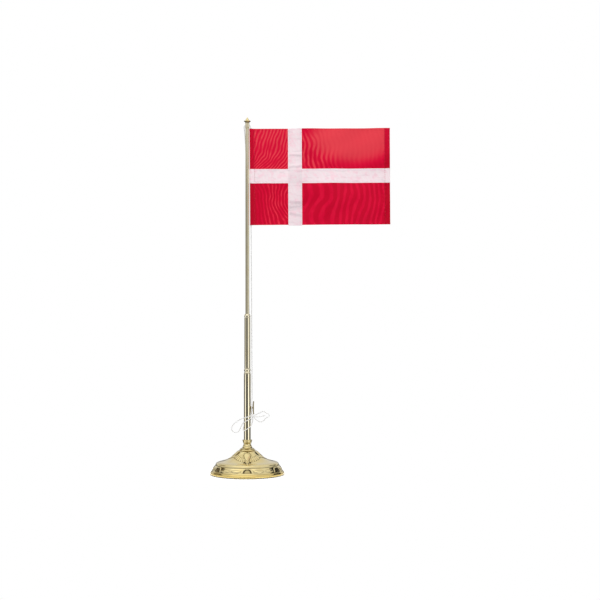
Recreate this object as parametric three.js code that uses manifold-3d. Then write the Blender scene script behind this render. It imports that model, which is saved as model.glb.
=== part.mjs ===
// Brass table flag pole with a sewn flag on a halyard.
// Millimetres, +Z up. The origin is the centre of the foot's underside, on the pole's axis.
// +X runs along the flag, away from the pole.

import * as THREE from 'three';
import { mergeVertices } from 'three/addons/utils/BufferGeometryUtils.js';
import Module from 'manifold-3d';

// ---------- driving dimensions ----------
const GAP = 0.3; // clearance between pieces that touch

// foot
const FOOT_R = 43.5;
const FOOT_RIM_Z = 0.6; // the rim stops just above the table, the felt carries the weight
const FOOT_RIM_TOP_Z = 3.4;
const SHOULDER_R = 37.2;
const SHOULDER_Z = 12.2;
const FOOT_TOP_R = 10.8;
const FOOT_TOP_Z = 27.6;
const SHELL_WALL = 0.9;
const FELT_R = 41.6;
const FELT_THICK = 1.2;

// neck
const FLANGE_R = 9.4;
const FLANGE_THICK = 1.6;
const COLLAR_TOP_Z = 40.6;
const CUP_FLOOR_Z = 37.6;
const STUD_R = 2.0;
const STUD_BOTTOM_Z = 2.2;
const STUD_TOP_Z = 54;

// pole sections
const LOWER_R = 4.0;
const MIDDLE_R = 3.5;
const ROD_R = 2.25;
const TUBE_WALL = 0.5;
const LOWER_BOTTOM_Z = CUP_FLOOR_Z + GAP;
const LOWER_TOP_Z = 118.5;
const MIDDLE_BOTTOM_Z = 124.9;
const MIDDLE_TOP_Z = 184.4;
const RING_UPPER_Z = 188.5;
const SMALL_STUD_R = 1.5;
const LOWER_STUD_BOTTOM_Z = 108;
const LOWER_STUD_TOP_Z = 136;
const MIDDLE_BUSH_TOP_Z = 140;
const UPPER_BUSH_BOTTOM_Z = 170;
const ROD_STUD_BOTTOM_Z = 172;
const ROD_BOTTOM_Z = 186.6;
const ROD_TOP_Z = 407.1;
const SPIGOT_R = 1.4;
const SPIGOT_H = 1.4;
const TRUCK_R = 2.5;
const TRUCK_TOP_Z = 413.4;
const TRUCK_HOLE_Z = 410.3;
const TRUCK_HOLE_R = 0.9;

// finial
const FINIAL_R = 4.05;
const FINIAL_TIP_Z = 420;
const FINIAL_STUD_R = 1.1;
const FINIAL_STUD_H = 1.3;

// cleat
const CLEAT_Z = 78.2;
const CLEAT_X = 7.1;
const CLEAT_HORN_R = 0.7;
const CLEAT_STEM_R = 1.0;
const CLEAT_SHANK_R = 0.8;
const CLEAT_REACH = 8.1;
const TURNS_X = 5.25; // the cord's centre, between the tube and the cleat's horns
const TURN_PITCH = 1.35; // from one turn of cord on the cleat to the next

// halyard and flag; the halyard leans out a little from the truck to the cleat
const CORD_R = 0.5;
const CORD_SIDES = 8;
const WRAP_R = LOWER_R + GAP + CORD_R; // centre of the cord where it lies on the lower tube
const FLAG_BOTTOM_Z = 293.1;
const FLAG_H = 113.3;
const FLAG_W = 165;
const FLAG_TOP_Z = FLAG_BOTTOM_Z + FLAG_H;
const HALYARD_TOP_X = 3.8;
const HALYARD_LEAN = 0.006; // millimetres outward for each millimetre down
const FALL_BOTTOM_Z = 93; // where the straight part of the hoist side starts
const FALL_TOP_Z = FLAG_TOP_Z + 2.0;
const HOIST_EDGE = -1.2; // the sleeve's inner edge, measured from the halyard
const FLY_EDGE = HOIST_EDGE + FLAG_W;
const SLEEVE_W = 4.4;
const SLEEVE_HALF_T = 1.3;
const CLOTH_T = 0.5;
const HEM_W = 6.4;
const HEM_T = 0.8;
const CROSS_LEFT = 43.9; // the vertical bar, measured from the halyard
const CROSS_RIGHT = 60.2;
const CROSS_BOTTOM = 49.1; // the horizontal bar, measured from the flag's foot
const CROSS_TOP = 65.9;

const ROUND_SIDES = 48;
const TUBE_SIDES = 24;

// ---------- materials ----------
function metal(color, roughness) {
  return new THREE.MeshStandardMaterial({ color, roughness, metalness: 1 });
}

function cloth(color, roughness) {
  return new THREE.MeshStandardMaterial({ color, roughness, metalness: 0 });
}

const BRASS = 0xe0c878;
const STEEL = 0x9a9a9c;
const IRON = 0x3c3a38;
const GREEN_FELT = 0x24452f;
const WHITE_CORD = 0xf0eeea;
const FLAG_RED = 0xc8102e;
const FLAG_WHITE = 0xf4eef0;

// ---------- helpers ----------
const root = new THREE.Group();

function addTo(group, name, geometry, material) {
  const mesh = new THREE.Mesh(geometry, material);
  mesh.name = name;
  group.add(mesh);
}

// A closed [radius, height] outline turned about the Z axis.
function turned(outline, sides = TUBE_SIDES) {
  const points = outline.map(([r, z]) => new THREE.Vector2(r, z));
  if (outline[0][0] > 0) points.push(points[0].clone());
  const geometry = new THREE.LatheGeometry(points, sides);
  geometry.rotateX(Math.PI / 2);
  return geometry;
}

// A tube or ring between two radii and two heights.
function pipe(inner, outer, bottom, top, sides = TUBE_SIDES) {
  return turned([[inner, bottom], [outer, bottom], [outer, top], [inner, top]], sides);
}

// A round section carried along a curve.
function cordAlong(curve, steps, radius = CORD_R) {
  const section = new THREE.Shape();
  for (let i = 0; i < CORD_SIDES; i += 1) {
    const a = (i / CORD_SIDES) * Math.PI * 2;
    const [x, y] = [radius * Math.cos(a), radius * Math.sin(a)];
    if (i === 0) section.moveTo(x, y);
    else section.lineTo(x, y);
  }
  section.closePath();
  return new THREE.ExtrudeGeometry(section, { steps, bevelEnabled: false, extrudePath: curve });
}

function through(points) {
  return new THREE.CatmullRomCurve3(points.map((p) => new THREE.Vector3(...p)), false, 'centripetal');
}

// ---------- solid cutting and joining ----------
const wasm = await Module();
wasm.setup();

function toSolid(geometry) {
  const bare = geometry.index ? geometry.toNonIndexed() : geometry.clone();
  bare.deleteAttribute('normal');
  bare.deleteAttribute('uv');
  const merged = mergeVertices(bare, 1e-4);
  return new wasm.Manifold(new wasm.Mesh({
    numProp: 3,
    vertProperties: new Float32Array(merged.attributes.position.array),
    triVerts: new Uint32Array(merged.index.array),
  }));
}

function fromSolid(solid) {
  const mesh = solid.getMesh();
  const geometry = new THREE.BufferGeometry();
  const positions = new Float32Array(mesh.vertProperties);
  geometry.setAttribute('position', new THREE.BufferAttribute(positions, 3));
  geometry.setIndex(new THREE.BufferAttribute(new Uint32Array(mesh.triVerts), 1));
  geometry.computeVertexNormals();
  return geometry;
}

// A cylinder along +X from one x to another.
function rodAlongX(radius, from, to, z, sides = 16) {
  const geometry = new THREE.CylinderGeometry(radius, radius, to - from, sides);
  geometry.rotateZ(Math.PI / 2);
  geometry.translate((from + to) / 2, 0, z);
  return geometry;
}

// ---------- foot ----------
// The concave flare between the shoulder and the neck, as [radius, height] from the shoulder in.
const FLARE = [
  [33.2, 14.7], [27.3, 15.8], [21.9, 18.2], [17.0, 21.8], [13.4, 25.2], [FOOT_TOP_R, FOOT_TOP_Z],
];

function footOutside() {
  const rim = [[FOOT_R - 0.5, FOOT_RIM_Z], [FOOT_R, FOOT_RIM_Z + 0.5], [FOOT_R, FOOT_RIM_TOP_Z]];
  const slope = [[42.2, 5.4], [40.3, 7.8], [38.8, 10.1]];
  const shoulder = [[SHOULDER_R, SHOULDER_Z], [36.3, 13.4], [35.0, 14.2]];
  const flare = new THREE.SplineCurve(FLARE.map(([r, z]) => new THREE.Vector2(r, z)));
  return [...rim, ...slope, ...shoulder, ...flare.getPoints(8).map((p) => [p.x, p.y])];
}

// The same outline moved in by the wall, from the top down to the rim.
function footInside(outside) {
  const moved = [];
  for (let i = 1; i < outside.length - 1; i += 1) {
    const [before, after] = [outside[i - 1], outside[i + 1]];
    const along = new THREE.Vector2(after[0] - before[0], after[1] - before[1]).normalize();
    moved.push([outside[i][0] - along.y * SHELL_WALL, outside[i][1] + along.x * SHELL_WALL]);
  }
  const [low, high] = [FOOT_RIM_TOP_Z, FOOT_TOP_Z - SHELL_WALL];
  return moved.filter((p, i) => i % 2 === 0 && p[1] > low && p[1] < high).reverse();
}

function buildFoot(base) {
  const outside = footOutside();
  const hole = STUD_R + GAP;
  const inside = footInside(outside);
  const shell = [
    ...outside,
    [hole, FOOT_TOP_Z],
    [hole, FOOT_TOP_Z - SHELL_WALL],
    [FOOT_TOP_R - 0.6, FOOT_TOP_Z - SHELL_WALL],
    ...inside,
    [FOOT_R - SHELL_WALL, FOOT_RIM_TOP_Z],
    [FOOT_R - SHELL_WALL, FOOT_RIM_Z],
  ];
  addTo(base, 'base_shell', turned(shell, ROUND_SIDES), metal(BRASS, 0.12));

  const floor = FELT_THICK + GAP;
  const ballast = [
    [7.2, floor], [FELT_R - 0.4, floor], [FELT_R - 0.4, 3.6], [36.4, 9.6], [34.2, 11.6],
    [26.0, 13.3], [19.0, 16.6], [13.6, 20.8], [9.6, 24.4], [hole, 24.4], [hole, 6.8], [7.2, 6.8],
  ];
  addTo(base, 'ballast_weight', turned(ballast, 32), metal(IRON, 0.8));

  const felt = new THREE.CylinderGeometry(FELT_R, FELT_R, FELT_THICK, ROUND_SIDES);
  felt.rotateX(Math.PI / 2);
  felt.translate(0, 0, FELT_THICK / 2);
  addTo(base, 'felt_pad', felt, cloth(GREEN_FELT, 1));
}

function buildTieStud(base) {
  const stud = new THREE.CylinderGeometry(STUD_R, STUD_R, STUD_TOP_Z - STUD_BOTTOM_Z, 16);
  stud.rotateX(Math.PI / 2);
  stud.translate(0, 0, (STUD_TOP_Z + STUD_BOTTOM_Z) / 2);
  addTo(base, 'tie_stud', stud, metal(STEEL, 0.45));

  addTo(base, 'tie_washer', pipe(STUD_R + GAP, 5.5, 5.6, 6.5), metal(STEEL, 0.4));
  addTo(base, 'tie_nut', hexNut(STUD_R + GAP, 3.5, 2.6).translate(0, 0, 2.7), metal(STEEL, 0.4));
}

// A hexagonal nut lying on z = 0, with its half width across the flats.
function hexNut(bore, halfFlats, height) {
  const outline = new THREE.Shape();
  for (let i = 0; i < 6; i += 1) {
    const a = (i / 6) * Math.PI * 2;
    const corner = halfFlats / Math.cos(Math.PI / 6);
    if (i === 0) outline.moveTo(corner, 0);
    else outline.lineTo(corner * Math.cos(a), corner * Math.sin(a));
  }
  outline.closePath();
  const hole = new THREE.Path();
  hole.absarc(0, 0, bore, 0, Math.PI * 2, true);
  outline.holes.push(hole);
  return new THREE.ExtrudeGeometry(outline, { depth: height, bevelEnabled: false, curveSegments: 12 });
}

function buildNeck(base) {
  const hole = STUD_R + GAP;
  const flangeZ = FOOT_TOP_Z + GAP;
  const flangeTop = flangeZ + FLANGE_THICK;
  addTo(base, 'base_flange', turned([
    [hole, flangeZ], [FLANGE_R - 0.4, flangeZ], [FLANGE_R, flangeZ + 0.4],
    [FLANGE_R, flangeTop - 0.5], [FLANGE_R - 0.5, flangeTop], [hole, flangeTop],
  ], 32), metal(BRASS, 0.12));

  const foot = flangeTop + GAP;
  const cupR = LOWER_R + GAP;
  addTo(base, 'neck_collar', turned([
    [hole, foot], [8.2, foot], [8.2, foot + 0.5], [6.4, foot + 1.3],
    [5.5, foot + 2.4], [5.15, foot + 3.8], [4.45, foot + 5.2], [4.35, foot + 5.8],
    [4.75, foot + 7.0], [5.3, foot + 8.6],
    [5.7, COLLAR_TOP_Z - 0.9], [5.75, COLLAR_TOP_Z - 0.2], [5.5, COLLAR_TOP_Z],
    [cupR, COLLAR_TOP_Z], [cupR, CUP_FLOOR_Z], [hole, CUP_FLOOR_Z],
  ], 32), metal(BRASS, 0.12));
}

// ---------- pole ----------
function buildLowerTube(pole) {
  const tube = toSolid(pipe(LOWER_R - TUBE_WALL, LOWER_R, LOWER_BOTTOM_Z, LOWER_TOP_Z));
  const hole = toSolid(rodAlongX(CLEAT_SHANK_R + GAP, 1, 6, CLEAT_Z));
  addTo(pole, 'lower_tube', fromSolid(tube.subtract(hole)), metal(BRASS, 0.1));
  const bushR = LOWER_R - TUBE_WALL - GAP;
  const bush = pipe(STUD_R + GAP, bushR, LOWER_BOTTOM_Z + 0.3, STUD_TOP_Z + 4);
  addTo(pole, 'lower_tube_bush', bush, metal(BRASS, 0.4));

  const stem = toSolid(rodAlongX(CLEAT_STEM_R, LOWER_R + GAP, CLEAT_X, CLEAT_Z));
  const shank = toSolid(rodAlongX(CLEAT_SHANK_R, 1.6, LOWER_R + GAP + 0.2, CLEAT_Z));
  const horns = new THREE.CatmullRomCurve3([
    new THREE.Vector3(CLEAT_X + 0.5, 0, CLEAT_Z + CLEAT_REACH),
    new THREE.Vector3(CLEAT_X - 0.02, 0, CLEAT_Z + CLEAT_REACH * 0.55),
    new THREE.Vector3(CLEAT_X, 0, CLEAT_Z),
    new THREE.Vector3(CLEAT_X - 0.02, 0, CLEAT_Z - CLEAT_REACH * 0.55),
    new THREE.Vector3(CLEAT_X + 0.5, 0, CLEAT_Z - CLEAT_REACH),
  ]);
  const bar = toSolid(cordAlong(horns, 12, CLEAT_HORN_R));
  addTo(pole, 'cleat', fromSolid(bar.add(stem).add(shank)), metal(BRASS, 0.2));

  const nut = hexNut(CLEAT_SHANK_R + GAP, 1.5, 1.0);
  nut.rotateY(Math.PI / 2);
  nut.translate(1.8, 0, CLEAT_Z);
  addTo(pole, 'cleat_nut', nut, metal(BRASS, 0.4));
}

function buildJoints(pole) {
  const boreR = SMALL_STUD_R + GAP;
  const ringZ = LOWER_TOP_Z + GAP;
  addTo(pole, 'joint_ring_lower', turned([
    [boreR, ringZ], [LOWER_R - 0.1, ringZ], [LOWER_R - 0.1, ringZ + 0.5],
    [3.55, ringZ + 1.2], [3.5, ringZ + 2.2], [3.85, ringZ + 3.0],
    [3.92, ringZ + 3.8], [3.8, ringZ + 4.6], [3.55, ringZ + 5.2],
    [3.5, MIDDLE_BOTTOM_Z - GAP], [boreR, MIDDLE_BOTTOM_Z - GAP],
  ]), metal(BRASS, 0.12));

  const plugR = LOWER_R - TUBE_WALL - GAP;
  addTo(pole, 'joint_stud_lower', turned([
    [0, LOWER_STUD_BOTTOM_Z], [plugR, LOWER_STUD_BOTTOM_Z], [plugR, LOWER_TOP_Z - 0.1],
    [SMALL_STUD_R, LOWER_TOP_Z - 0.1], [SMALL_STUD_R, LOWER_STUD_TOP_Z], [0, LOWER_STUD_TOP_Z],
  ]), metal(BRASS, 0.4));

  const bushR = MIDDLE_R - TUBE_WALL - GAP;
  const lowBush = pipe(boreR, bushR, MIDDLE_BOTTOM_Z + 0.2, MIDDLE_BUSH_TOP_Z);
  addTo(pole, 'middle_tube_bush', lowBush, metal(BRASS, 0.4));
  const tube = pipe(MIDDLE_R - TUBE_WALL, MIDDLE_R, MIDDLE_BOTTOM_Z, MIDDLE_TOP_Z);
  addTo(pole, 'middle_tube', tube, metal(BRASS, 0.1));
  const highBush = pipe(boreR, bushR, UPPER_BUSH_BOTTOM_Z, MIDDLE_TOP_Z - 0.2);
  addTo(pole, 'upper_rod_bush', highBush, metal(BRASS, 0.4));

  const ferruleZ = MIDDLE_TOP_Z + GAP;
  const socketR = ROD_R + GAP;
  addTo(pole, 'joint_ring_upper', turned([
    [boreR, ferruleZ], [3.45, ferruleZ], [3.45, ferruleZ + 0.3], [3.65, ferruleZ + 0.9],
    [3.65, ferruleZ + 1.7], [3.45, ferruleZ + 2.6], [3.1, ferruleZ + 3.3],
    [2.8, RING_UPPER_Z], [socketR, RING_UPPER_Z],
    [socketR, ferruleZ + 1.6], [boreR, ferruleZ + 1.6],
  ]), metal(BRASS, 0.12));
}

function buildUpperRod(pole) {
  addTo(pole, 'upper_rod', turned([
    [0, ROD_STUD_BOTTOM_Z], [SMALL_STUD_R, ROD_STUD_BOTTOM_Z], [SMALL_STUD_R, ROD_BOTTOM_Z],
    [ROD_R, ROD_BOTTOM_Z], [ROD_R, ROD_TOP_Z], [SPIGOT_R, ROD_TOP_Z],
    [SPIGOT_R, ROD_TOP_Z + SPIGOT_H], [0, ROD_TOP_Z + SPIGOT_H],
  ]), metal(BRASS, 0.1));

  const bottom = ROD_TOP_Z + GAP;
  const top = TRUCK_TOP_Z;
  const socketR = SPIGOT_R + GAP;
  const body = toSolid(turned([
    [0, bottom + 1.5], [socketR, bottom + 1.5], [socketR, bottom], [TRUCK_R, bottom], [TRUCK_R, top],
    [FINIAL_STUD_R + GAP, top], [FINIAL_STUD_R + GAP, top - 1.6], [0, top - 1.6],
  ]));
  const hole = toSolid(rodAlongX(TRUCK_HOLE_R, -TRUCK_R - 1, TRUCK_R + 1, TRUCK_HOLE_Z, 12));
  addTo(pole, 'truck', fromSolid(body.subtract(hole)), metal(BRASS, 0.12));
}

// ---------- finial ----------
function buildFinial(finial) {
  const seat = TRUCK_TOP_Z + GAP;
  const studZ = TRUCK_TOP_Z - FINIAL_STUD_H;
  addTo(finial, 'finial', turned([
    [0, studZ], [FINIAL_STUD_R, studZ], [FINIAL_STUD_R, seat], [2.45, seat],
    [2.9, seat + 0.5], [3.6, seat + 1.0], [FINIAL_R, seat + 1.5],
    [FINIAL_R, seat + 1.9], [3.5, seat + 2.3],
    [2.6, seat + 2.8], [1.95, seat + 3.5], [1.4, seat + 4.4], [0.75, seat + 5.5], [0, FINIAL_TIP_Z],
  ]), metal(BRASS, 0.12));
}

// ---------- halyard ----------
// One cord: from the cleat up through the flag's sleeve, through the truck, down the back, into the
// knot under the cleat, out to the right loop, then the left loop, the turns round the tube and the tail.

// The halyard's centre beside the pole at a height.
function halyardX(z) {
  return HALYARD_TOP_X + (FLAG_TOP_Z - z) * HALYARD_LEAN;
}

// A point beside the lower tube, at an angle from +X seen from above.
function onPole(degrees, z, radius = WRAP_R) {
  const a = THREE.MathUtils.degToRad(degrees);
  return [radius * Math.cos(a), radius * Math.sin(a), z];
}

// Flat turns round the cleat's stem from the inside out, which leave upwards on the near side.
function cleatTurns() {
  const turns = 1.75;
  const perTurn = 12;
  const last = turns * perTurn;
  const points = [];
  for (let i = 0; i <= last; i += 1) {
    const round = i / perTurn;
    const a = Math.PI + round * Math.PI * 2;
    const half = CLEAT_STEM_R + GAP + CORD_R + 0.05 + TURN_PITCH * round;
    const reach = 2.6 + 1.9 * round;
    points.push([TURNS_X, -half * Math.sin(a), CLEAT_Z - reach * Math.cos(a)]);
  }
  const leaving = [[5.3, -3.9, 81.5], [5.45, -2.6, 86.0], [5.6, -1.0, 89.6]];
  return [...points, ...leaving, [halyardX(FALL_BOTTOM_Z), 0, FALL_BOTTOM_Z]];
}

const TRUCK_TURN = [
  [halyardX(FALL_TOP_Z + GAP), 0, FALL_TOP_Z + GAP], [3.7, 0, 409.5],
  [3.2, 0, 410.15], [2.3, 0, TRUCK_HOLE_Z],
  [-2.3, 0, TRUCK_HOLE_Z], [-3.2, 0.1, 410.1], [-3.7, 0.4, 409.3],
  [-3.65, 1.1, 406.6], [-3.1, 1.9, 401.2],
];
const BACK_FALL = [
  [-3.07, 1.93, 400.9], [-1.6, 3.1, 372], [0, 3.6, 335], [0.6, 3.9, 290],
  [1.2, 4.3, 240], [1.8, 4.8, 195],
  [2.2, 4.9, 150], [2.4, 4.95, 120], [2.5, 5.1, 98], [2.8, 5.2, 84], [3.7, 4.9, 75.5], [4.9, 4.0, 71.2],
  [5.9, 2.2, 68.9], [6.2, 0.7, 68.4], [6.1, -0.2, 68.4],
];
const KNOT = [5.9, -2.0, 68.4];
const KNOT_R = 1.5;
const RIGHT_LOOP = [
  [7.6, -2.3, 67.9], [8.9, -2.2, 65.9], [12.0, -1.9, 63.4], [15.6, -1.6, 61.7], [19.2, -1.4, 63.2],
  [22.0, -1.3, 66.4], [25.6, -1.2, 68.2], [25.4, -1.2, 70.3], [22.6, -1.3, 72.3], [18.8, -1.4, 74.0],
  [14.2, -1.6, 72.2], [10.7, -1.8, 70.4], [7.6, -2.0, 69.15],
];
const LEFT_LOOP = [
  [4.45, -3.1, 68.55], onPole(-50, 68.5), onPole(-70, 68.2), onPole(-90, 67.6), onPole(-112, 67.0),
  onPole(-135, 66.6), onPole(-155, 66.2), [-6.7, -1.4, 65.4], [-9.4, -1.0, 64.1], [-12.0, -0.8, 62.2],
  [-14.9, -0.6, 60.1], [-17.1, -0.5, 57.5], [-18.5, -0.5, 54.6], [-17.9, -0.5, 51.6], [-15.9, -0.6, 49.7],
  [-12.9, -0.8, 49.2], [-10.5, -1.0, 50.1], [-9.2, -1.2, 52.1], [-8.0, -1.5, 54.6], [-6.6, -1.8, 57.6],
  [-5.1, -2.2, 60.0],
];
const POLE_WRAPS = [
  [-4.93, -2.25, 60.3], onPole(-142, 61.0), onPole(-118, 62.2), onPole(-95, 63.3), onPole(-72, 64.4),
  onPole(-48, 65.2), onPole(-20, 65.5), onPole(10, 65.1), onPole(40, 64.0), onPole(70, 62.2),
  onPole(100, 59.8), onPole(130, 57.2), onPole(160, 54.4), onPole(190, 52.0),
  onPole(215, 51.2), onPole(240, 52.0),
  onPole(265, 53.4), onPole(290, 54.8), onPole(315, 55.9), onPole(338, 56.9), [5.3, -0.4, 59.2],
  [6.0, 0.1, 62.0], [6.4, -0.3, 64.6], [6.1, -1.3, 66.6],
];
const TAIL = [
  [7.2, -3.3, 68.5], [10.7, -3.6, 68.0], [15.0, -3.7, 68.2], [18.6, -3.7, 68.9], [21.2, -3.6, 69.3],
];

function buildHalyard(pole) {
  const stretch = (name, curve, steps) => {
    addTo(pole, name, cordAlong(curve, steps), cloth(WHITE_CORD, 0.85));
  };
  const fall = (z) => new THREE.Vector3(halyardX(z), 0, z);
  stretch('halyard_cleat_turns', through(cleatTurns()), 36);
  stretch('halyard_hoist_fall', new THREE.LineCurve3(fall(FALL_BOTTOM_Z + GAP), fall(FALL_TOP_Z)), 6);
  stretch('halyard_truck_turn', through(TRUCK_TURN), 18);
  stretch('halyard_back_fall', through(BACK_FALL), 44);
  stretch('halyard_right_loop', through(RIGHT_LOOP), 26);
  stretch('halyard_left_loop', through(LEFT_LOOP), 30);
  stretch('halyard_pole_wraps', through(POLE_WRAPS), 32);
  stretch('halyard_tail', through(TAIL), 6);
  const knot = new THREE.IcosahedronGeometry(KNOT_R, 1);
  knot.translate(...KNOT);
  addTo(pole, 'halyard_knot', knot, cloth(WHITE_CORD, 0.85));
}

// ---------- flag ----------
// One piece of cloth, with its section in the plane seen from above, carried up the hoist.
function clothPiece(group, name, section, bottom, top, color) {
  const geometry = new THREE.ExtrudeGeometry(section, {
    depth: top - bottom, bevelEnabled: false, curveSegments: 8,
  });
  geometry.translate(0, 0, bottom);
  addTo(group, name, geometry, cloth(color, 0.55));
}

// A plain strip, thicker over the hem where it ends at the fly.
function stripSection(from, to) {
  const t = CLOTH_T / 2;
  const shape = new THREE.Shape();
  shape.moveTo(from, -t);
  if (to === FLY_EDGE) {
    shape.lineTo(to - HEM_W, -t);
    shape.lineTo(to - HEM_W + 0.2, -HEM_T / 2);
    shape.lineTo(to, -HEM_T / 2);
    shape.lineTo(to, HEM_T / 2);
    shape.lineTo(to - HEM_W + 0.2, HEM_T / 2);
    shape.lineTo(to - HEM_W, t);
  } else {
    shape.lineTo(to, -t);
    shape.lineTo(to, t);
  }
  shape.lineTo(from, t);
  shape.closePath();
  return shape;
}

// A strip whose hoist end is folded round into the sleeve that the halyard runs in.
function sleeveSection(to) {
  const t = CLOTH_T / 2;
  const centre = HOIST_EDGE + SLEEVE_W / 2;
  const [rx, ry] = [SLEEVE_W / 2, SLEEVE_HALF_T];
  const opening = Math.asin(t / ry);
  const shape = new THREE.Shape();
  shape.absellipse(centre, 0, rx, ry, opening, Math.PI * 2 - opening, false);
  const tail = stripSection(centre + rx * 0.9, to).getPoints();
  tail.slice(1, -1).forEach((p) => shape.lineTo(p.x, p.y));
  shape.closePath();
  const channel = new THREE.Path();
  channel.absellipse(centre, 0, rx - 0.4, ry - 0.4, 0, Math.PI * 2, true);
  shape.holes.push(channel);
  return shape;
}

function buildFlag(flag) {
  const [low, high] = [CROSS_BOTTOM - GAP, CROSS_TOP + GAP];
  const [left, right] = [CROSS_LEFT - GAP, CROSS_RIGHT + GAP];
  clothPiece(flag, 'field_lower_hoist', sleeveSection(left), 0, low, FLAG_RED);
  clothPiece(flag, 'field_upper_hoist', sleeveSection(left), high, FLAG_H, FLAG_RED);
  clothPiece(flag, 'field_lower_fly', stripSection(right, FLY_EDGE), 0, low, FLAG_RED);
  clothPiece(flag, 'field_upper_fly', stripSection(right, FLY_EDGE), high, FLAG_H, FLAG_RED);
  clothPiece(flag, 'cross_vertical_lower', stripSection(CROSS_LEFT, CROSS_RIGHT), 0, low, FLAG_WHITE);
  clothPiece(flag, 'cross_vertical_upper', stripSection(CROSS_LEFT, CROSS_RIGHT), high, FLAG_H, FLAG_WHITE);
  clothPiece(flag, 'cross_horizontal', sleeveSection(FLY_EDGE), CROSS_BOTTOM, CROSS_TOP, FLAG_WHITE);
}

// A stopper knot as a small ring round the halyard.
function stopKnot(group, name, height) {
  const inner = CORD_R + GAP;
  addTo(group, name, turned([
    [inner, height - 0.35], [1.05, height - 0.35], [1.2, height - 0.1], [1.2, height + 0.1],
    [1.05, height + 0.35], [inner, height + 0.35],
  ], 12), cloth(WHITE_CORD, 0.85));
}

// ---------- assembly ----------
const base = new THREE.Group();
buildFoot(base);
buildTieStud(base);
buildNeck(base);
root.add(base);

const pole = new THREE.Group();
buildLowerTube(pole);
buildJoints(pole);
buildUpperRod(pole);
buildHalyard(pole);
root.add(pole);

const finial = new THREE.Group();
buildFinial(finial);
root.add(finial);

// the flag and its stops hang along the leaning halyard
const hoist = new THREE.Group();
hoist.position.set(halyardX(FLAG_BOTTOM_Z), 0, FLAG_BOTTOM_Z);
hoist.rotation.y = -Math.atan(HALYARD_LEAN);
stopKnot(hoist, 'hoist_stop_lower', -0.65);
stopKnot(hoist, 'hoist_stop_upper', FLAG_H + 0.65);
buildFlag(hoist);
root.add(hoist);

export default root;
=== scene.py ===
import math

import bpy
import numpy as np
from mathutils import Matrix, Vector


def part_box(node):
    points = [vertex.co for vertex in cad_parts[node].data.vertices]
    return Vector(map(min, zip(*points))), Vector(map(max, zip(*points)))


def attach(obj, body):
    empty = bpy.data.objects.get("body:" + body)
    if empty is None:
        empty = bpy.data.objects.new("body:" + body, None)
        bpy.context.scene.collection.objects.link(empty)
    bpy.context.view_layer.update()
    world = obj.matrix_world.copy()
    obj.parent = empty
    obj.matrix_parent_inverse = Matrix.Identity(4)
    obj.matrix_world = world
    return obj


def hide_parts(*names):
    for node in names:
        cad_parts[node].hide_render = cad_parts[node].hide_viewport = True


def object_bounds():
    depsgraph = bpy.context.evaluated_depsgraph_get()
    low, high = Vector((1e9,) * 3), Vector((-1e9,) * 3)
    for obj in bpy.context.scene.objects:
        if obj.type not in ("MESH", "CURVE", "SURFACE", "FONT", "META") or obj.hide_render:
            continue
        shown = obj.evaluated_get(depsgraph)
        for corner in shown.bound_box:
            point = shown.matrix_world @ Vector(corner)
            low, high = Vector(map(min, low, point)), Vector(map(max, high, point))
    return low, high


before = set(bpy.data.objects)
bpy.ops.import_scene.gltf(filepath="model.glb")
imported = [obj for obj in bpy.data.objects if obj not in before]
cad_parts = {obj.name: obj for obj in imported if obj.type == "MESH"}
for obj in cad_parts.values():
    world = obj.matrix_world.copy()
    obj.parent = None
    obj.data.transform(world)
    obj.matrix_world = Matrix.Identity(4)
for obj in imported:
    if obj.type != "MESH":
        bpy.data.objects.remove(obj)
CAD_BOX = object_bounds()

# A brass table flag pole with a sewn flag on a halyard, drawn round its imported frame.
# The object's sizes are in millimetres, and MM turns them into the scene's metres. The camera, the
# lights and the floor are placed in metres.
MM = 0.001
TAU = 2 * math.pi


def add_object(name, data):
    """A new object in the scene."""
    made = bpy.data.objects.new(name, data)
    bpy.context.scene.collection.objects.link(made)
    return made


# ---------- camera ----------
CAMERA_PLACE = (0.062, -1.569, 0.205)


def make_camera():
    data = bpy.data.cameras.new("camera")
    data.lens = 80
    data.sensor_width = 36
    data.clip_end = 50
    camera = add_object("camera", data)
    camera.location = CAMERA_PLACE
    camera.rotation_euler = (math.pi / 2, 0, 0)
    bpy.context.scene.camera = camera


make_camera()


# ---------- numbers inside node trees ----------
def connect(tree, value, socket):
    """Puts a constant or another node's output into a socket."""
    if isinstance(value, Wire):
        tree.links.new(value.socket, socket)
    else:
        socket.default_value = value


def operation(kind):
    """A method of Wire that adds one Math node."""
    return lambda self, *others: self.math(kind, *others)


class Wire:
    """One output inside a node tree. Arithmetic on it adds Math nodes."""

    def __init__(self, tree, socket):
        self.tree = tree
        self.socket = socket

    def math(self, operation, *others):
        node = self.tree.nodes.new("ShaderNodeMath")
        node.operation = operation
        for socket, value in zip(node.inputs, (self, *others)):
            connect(self.tree, value, socket)
        return Wire(self.tree, node.outputs[0])

    __add__ = __radd__ = operation("ADD")
    __sub__ = operation("SUBTRACT")
    __mul__ = __rmul__ = operation("MULTIPLY")
    __truediv__ = operation("DIVIDE")
    most = operation("MAXIMUM")
    size = operation("ABSOLUTE")

    def __rsub__(self, other):
        return self * -1.0 + other

    def wave(self, period):
        """0 to 1 and back over each period."""
        return self.swing(period) * 0.5 + 0.5

    def swing(self, period, shift=0.0):
        """-1 to 1 and back over each period."""
        return (self * (TAU / period) + shift).math("SINE")

    def fade(self, start, end):
        """0 before start, 1 after end, and smooth between them."""
        node = self.tree.nodes.new("ShaderNodeMapRange")
        node.interpolation_type = "SMOOTHSTEP"
        node.inputs["From Min"].default_value = start
        node.inputs["From Max"].default_value = end
        connect(self.tree, self, node.inputs["Value"])
        return Wire(self.tree, node.outputs["Result"])


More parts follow.
